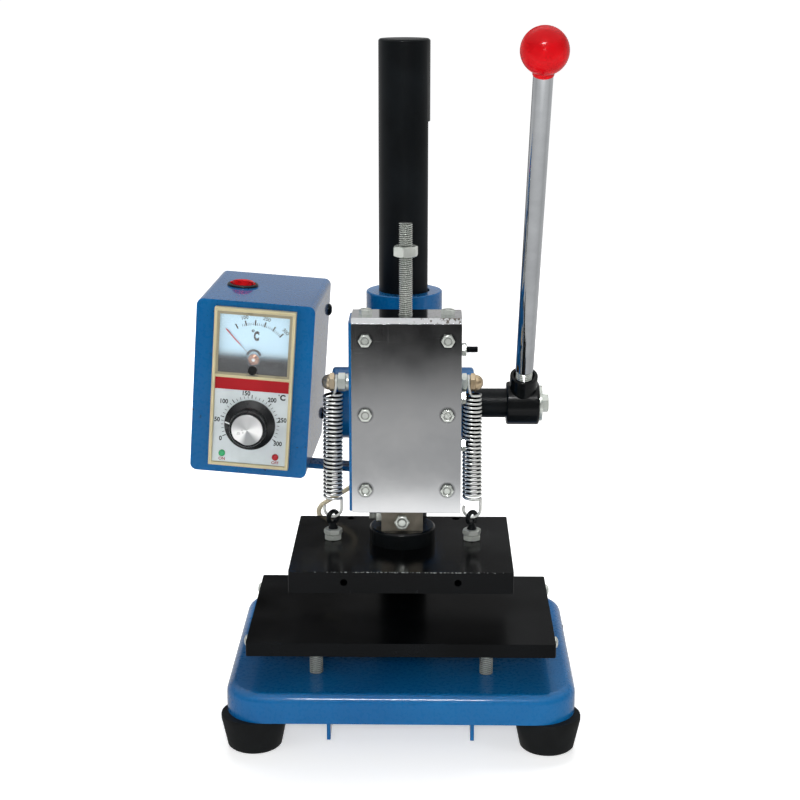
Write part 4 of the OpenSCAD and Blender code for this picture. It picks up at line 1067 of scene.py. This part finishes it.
# %% Eye bolts and their nuts
EYE_X, EYE_Y = SPRING_LOW[:2]
eyes = []
for side in (-1, 1):
    rest()
    bpy.ops.mesh.primitive_torus_add(major_radius=3.6 * MM, minor_radius=1.4 * MM,
                                     major_segments=48, minor_segments=16)
    loop = bpy.context.object
    put(loop, spot(side * EYE_X, EYE_Y, 120.3) @ turn(45, "Z") @ TO_FRONT)
    neck = lathe("eye_neck", [(3, 113.2), (2.9, 113.8), (2.2, 115.5), (1.8, 117.2)], 32)
    put(neck, spot(side * EYE_X, EYE_Y, 0))
    shank = put(thread("eye_shank", 6, 98.5, 113.3), spot(side * EYE_X, EYE_Y, 0))
    eyes += [loop, neck, shank]
eye_set = smooth(gather("eye_set", eyes), 40)
settle(eye_set, "ram", "black_oxide", "eye_bolts", finish="black_polish")
eye_nut = plain_nut("eye_nut", 6, 3.3)
places = []
for side in (-1, 1):
    for z, degrees in ((106.45, 30), (109.9, 12)):
        places.append(spot(side * EYE_X, EYE_Y, z) @ turn(degrees, "Z"))
settle(repeat("eye_nuts", eye_nut, places), "ram", "zinc", "eye_bolt_nuts")

# %% [markdown]
# ## Ram, clamp and bracket bolts
# The ram is pinned to its flange by a hex screw at the front and a stud with a nut at the left. Two
# bolts pull the head's clamp round the column, and four hold the control box's bracket.

# %% Ram bolts
RAM_BOLT_Z = 122.4
RAM_HALF = 12.5
front_head = hexagon("ram_head", FLATS[5], 3.5, dish=0.3)
put(front_head, spot(0, -RAM_HALF, RAM_BOLT_Z) @ TO_FRONT)
side_nut = plain_nut("ram_nut", 5, 3.5)
put(side_nut, spot(-RAM_HALF, 0, RAM_BOLT_Z) @ TO_LEFT)
side_stud = put(thread("ram_stud", 5, 9, 20.2), spot(0, 0, RAM_BOLT_Z) @ TO_LEFT)
settle(gather("ram_bolt_set", [front_head, side_nut, side_stud]), "ram", "zinc", "ram_bolts")

# %% Clamp bolts
CLAMP_Y = 103
CLAMP_Z = (170.4, 216.4)


def at_clamp(name, model, x, way):
    return repeat(name, model, [spot(x, CLAMP_Y, z) @ way for z in CLAMP_Z])


heads = at_clamp("clamp_heads", hexagon("clamp_head", FLATS[8], 5.3, dish=0.4), 15.6, TO_RIGHT)
disc = round_edges(lathe("clamp_washer", [(8, 0), (8, 1.6)]), 0.2)
discs = at_clamp("clamp_washers", disc, 14, TO_RIGHT)
nuts = at_clamp("clamp_nuts", plain_nut("clamp_nut", 8, 6.5), -14, TO_LEFT)
shanks = at_clamp("clamp_shanks", thread("clamp_shank", 8, -15, 23), 0, TO_LEFT)
settle(gather("clamp_bolt_set", [heads, discs, nuts, shanks]), "head", "zinc", "clamp_bolts")

# %% Bracket bolts
places = [spot(x, 29, 145.07) @ TO_DOWN for x in (-27, -13)]
places += [BOX @ spot(x, 38.5, -55.5) @ TO_DOWN for x in (-16, 10)]
bracket_head = hexagon("bracket_head", FLATS[5], 3.5, dish=0.3)
settle(repeat("bracket_heads", bracket_head, places), "head", "zinc", "bracket_bolts")

# %% [markdown]
# ## Lever
# The chrome rod screws into the hub's socket, so a few bright threads show in its mouth. The ball is
# a smooth sphere with a short neck. A washer and a hex bolt close the hub's outer end.

# %% Lever rod, ball and hub bolt
SHAFT_Y = 28.5
SHAFT_Z = 186
LEVER = spot(73.5, SHAFT_Y, SHAFT_Z) @ turn(0.7, "Y") @ turn(26, "X")
rod = lathe("rod_bar", [(5.0, 26.4), (5.5, 27.3), (5.5, 230.2), (4, 230.3), (4, 246)], 64)
round_edges(rod, 0.15)
settle(put(rod, LEVER), "lever", "chrome", "lever_rod")
settle(put(thread("rod_thread", 10, 11, 26.6), LEVER), "lever", "zinc")

rest()
bpy.ops.mesh.primitive_uv_sphere_add(segments=72, ring_count=36, radius=13.25 * MM)
ball = bpy.context.object
ball.name = "ball"
combine(ball, lathe("ball_neck", [(5.95, -14.1), (5.95, -10)], 72), "UNION")
combine(ball, lathe("ball_bore", [(5.52, -16), (5.52, -13.9)], 48), "DIFFERENCE")
smooth(ball, 30)
settle(put(ball, LEVER @ spot(0, 0, 244.5)), "lever", "red_plastic", "ball_knob")

washer = round_edges(lathe("hub_washer", [(11, 0), (11, 2)], 56), 0.3)
put(washer, spot(83.6, SHAFT_Y, SHAFT_Z) @ TO_RIGHT)
hub_head = hexagon("hub_head", FLATS[6], 4, dish=0.3)
put(hub_head, spot(85.6, SHAFT_Y, SHAFT_Z) @ TO_RIGHT)
settle(gather("hub_bolt_set", [washer, hub_head]), "lever", "zinc", "hub_bolt")

# %% [markdown]
# ## Control box
# The box leans four degrees on its bracket, so all its parts are made upright and then moved by one
# shared placement. Panel parts are drawn flat, as on paper, and `on_panel` stands them up.

# %% Box screws, bezel and switch
def on_panel(u, v, y):
    return PANEL @ spot(u, y, v) @ TO_FRONT


def shrink(obj, k):
    middle = sum((Vector(corner) for corner in obj.bound_box), Vector()) / 8
    return put(obj, Matrix.Translation(middle) @ Matrix.Scale(k, 4) @ Matrix.Translation(-middle))


places = [BOX @ spot(35, 84, z) @ TO_RIGHT for z in (-34, 34)]
places += [BOX @ spot(-35, 84, z) @ TO_LEFT for z in (-34, 34)]
screw_heads = repeat("side_screw_heads", dome_head("side_screw", 7.5, 2.4), places)
settle(screw_heads, "head", "black_oxide", "box_side_screws", finish="black_polish")
refine("controller_bezel", 0.4, "head", "cream_plastic")
refine("band_plate", 0.1, "head", "band_red")
refine("dial_plate", 0.1, "head", "panel_grey")
refine("meter_adjuster", 0.12, "head", "black_plastic")
bezel = shrink(round_edges(from_cad("switch_bezel"), 0.2), 0.9)
settle(bezel, "head", "black_plastic", "switch_bezel")
rocker = shrink(round_edges(from_cad("rocker"), 0.3), 0.82)
settle(rocker, "rocker", "red_plastic", "rocker")
refine("lamp_green", 0.05, "head", "lamp_green")
refine("lamp_red", 0.05, "head", "lamp_red")

# %% [markdown]
# ### Lip round the meter's window
# The bezel has a second, inner lip that holds the window. A thin frame is cut from a slab, and its
# lower bar has the small notch where a blade would lift the window out.

# %% Window lip
lip = bar("window_lip", (-22, 8.05, 4.65), (22, 46, 5.0))
combine(lip, bar("lip_opening", (-20.5, 9.5, 4), (20.5, 44.4, 6)), "DIFFERENCE")
combine(lip, bar("lip_notch", (-3.6, 7, 4.4), (3.6, 8.9, 6)), "DIFFERENCE")
# the lip wears the darker cream copy, which is painted shade
settle(put(round_edges(lip, 0.12), on_panel(0, 0, 0)), "head", "cream_plastic", finish="cream_painted_shade")

# %% [markdown]
# ## Printing
# Printed lines are thin tablets and printed words are text turned into a mesh, both lifted a few
# hundredths of a millimetre off the plate they belong to.

# %% Marks and words
def mark(wide, long, place):
    obj = bar("tick", (-wide / 2, -long / 2, 0), (wide / 2, long / 2, 0.03))
    return put(obj, place)


def word(text, size, place, weight=0.0, squeeze=1.0):
    rest()
    bpy.ops.object.text_add(location=(0, 0, 0))
    obj = bpy.context.object
    obj.name = "word"
    obj.data.body = text
    obj.data.size = size * MM
    obj.data.align_x = "CENTER"
    obj.data.align_y = "CENTER"
    obj.data.offset = weight * MM
    obj.data.extrude = 0.015 * MM
    obj.data.resolution_u = 3
    take(obj)
    bpy.ops.object.convert(target="MESH")
    return put(bpy.context.object, place @ spot(0, 0, 0.015) @ Matrix.Scale(squeeze, 4, (1, 0, 0)))


def spoke(centre, degrees, radius, y):
    return on_panel(*centre, y) @ turn(-degrees, "Z") @ spot(0, radius, 0)


print("printing tools ready")

# %% Meter scale
FACE = -1.0
bold = []
fine = []
for step in range(31):
    degrees = -45 + 3 * step
    if step % 5 == 0:
        bold.append(mark(0.85, 3.2, spoke(PIVOT, degrees, 22.0, FACE)))
    elif step > 7:
        fine.append(mark(0.32, 1.6, spoke(PIVOT, degrees, 21.2, FACE)))
for value, degrees in ((100, -15), (200, 15), (300, 45)):
    fine.append(word(str(value), 3.0, spoke(PIVOT, degrees, 25.4, FACE), 0.05))
bold.append(word("C", 7.2, on_panel(0.9, 31.4, FACE), 0.5, 0.6))
bold.append(word("o", 3.1, on_panel(-1.2, 34.9, FACE), 0.14))
settle(gather("meter_print", bold), "head", "print_black")
settle(gather("meter_print_fine", fine), "head", "print_grey")

# %% Dial print
DIAL = -3.5
# where each number stands, from the dial's centre
LABELS = {0: (-17.3, -10.0), 50: (-19.8, 1.5), 100: (-16.3, 12.9), 150: (-3.3, 18.8),
          200: (12.4, 15.9), 250: (19.0, 4.1), 300: (17.0, -10.6)}
ink = []
for step in range(31):
    degrees = -117.5 + 7.93 * step
    wide, long, radius = (0.5, 2.3, 17.1) if step % 5 == 0 else (0.3, 1.5, 16.7)
    ink.append(mark(wide, long, spoke(DIAL_CENTRE, degrees, radius, DIAL)))
for value, (u, v) in LABELS.items():
    place = on_panel(DIAL_CENTRE[0] + u, DIAL_CENTRE[1] + v, DIAL)
    ink.append(word(str(value), 3.8, place, 0.13, 0.9))
ink.append(word("C", 4.6, on_panel(18.6, -3.9, DIAL), 0.24))
ink.append(word("o", 1.9, on_panel(16.4, -2.3, DIAL), 0.04))
settle(gather("dial_print", ink), "head", "print_black")
words = [word(text, 2.5, on_panel(u, -44.2, DIAL), 0.07) for text, u in (("ON", -16), ("OFF", 16))]
settle(gather("lamp_words", words), "head", "print_red")

# %% [markdown]
# ## Knob
# A black skirted knob with a white pointer line on its slope and a spun metal cap. The cap has one
# small flat, as the real one has, cut off with a bar.

# %% Temperature knob
knob_steps = [(14.7, 0), (15.2, 0.4), (15.2, 1.5), (14.8, 1.9), (11.5, 4.3), (11.2, 4.9),
              (10.8, 11.0), (10.4, 11.7), (9.9, 11.8)]
KNOB = on_panel(*DIAL_CENTRE, -3.9)
knob = round_edges(lathe("knob_body", knob_steps, 96), 0.12)
settle(put(knob, KNOB), "knob", "black_plastic", "temperature_knob")
pointer = bar("knob_pointer", (-0.4, -1.9, 0), (0.4, 1.9, 0.12))
on_slope = spot(0, 13.15, 3.12) @ turn(-36, "X")
put(round_edges(pointer, 0.04), KNOB @ turn(86.4, "Z") @ on_slope)
settle(pointer, "knob", "print_white")
cap = lathe("cap_disc", [(9.2, 0), (9.2, 0.7), (8.6, 1.1)], 96)
flat = put(bar("cap_flat", (8.55, -8, -1), (12, 8, 3)), turn(242, "Z"))
combine(cap, flat, "DIFFERENCE")
settle(put(round_edges(cap, 0.1), KNOB @ spot(0, 0, 11.8)), "knob", "spun_aluminium", "knob_cap")

# %% [markdown]
# ## Meter
# Behind the window are the needle, a copper movement with its white jewel, and a black arch over it.
# The movement is turned, and the arch is a piece of wire bent on a half circle.

# %% Needle and movement
refine("meter_needle", 0.05, "needle", "needle_red")
dome_steps = [(3.3, 0), (3.3, 0.15), (2.9, 0.6), (2.0, 0.95), (1.1, 1.1)]
movement = put(round_edges(lathe("movement", dome_steps, 40), 0.05), on_panel(*PIVOT, -2.1))
settle(movement, "head", "bronze", finish="copper")
jewel = put(lathe("jewel", [(1.0, 0), (1.0, 0.1), (0.6, 0.2)], 24), on_panel(*PIVOT, -3.15))
settle(jewel, "head", "print_white")
ARCH_R = 3.9
arch_line = []
for degrees in range(15, 166, 6):
    u, v = wave(degrees)
    arch_line.append(panel_point(ARCH_R * u, 19.4 + ARCH_R * v, -2.4) / MM)
settle(wire("movement_arch", arch_line, 1.3), "head", "black_plastic")

# %% [markdown]
# ## Pieces left as CAD
# What is deep inside or hidden underneath keeps its CAD shape and only takes a finish.

# %% Finishes for the CAD pieces that stay
STAYING = {
    "foot_screws": "zinc", "column_bolt": "zinc", "gib_strip": "bronze", "shaft_bushes": "bronze",
    "controller_body": "black_plastic", "pinion": "gear_steel", "heaters": "gear_steel",
    "thermocouple": "gear_steel", "meter_face": "scale_blue", "meter_window": "clear",
    "meter_shroud": "smoke"}
for node, slot in STAYING.items():
    dress(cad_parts[node], slot)
print("left as CAD", len(STAYING))
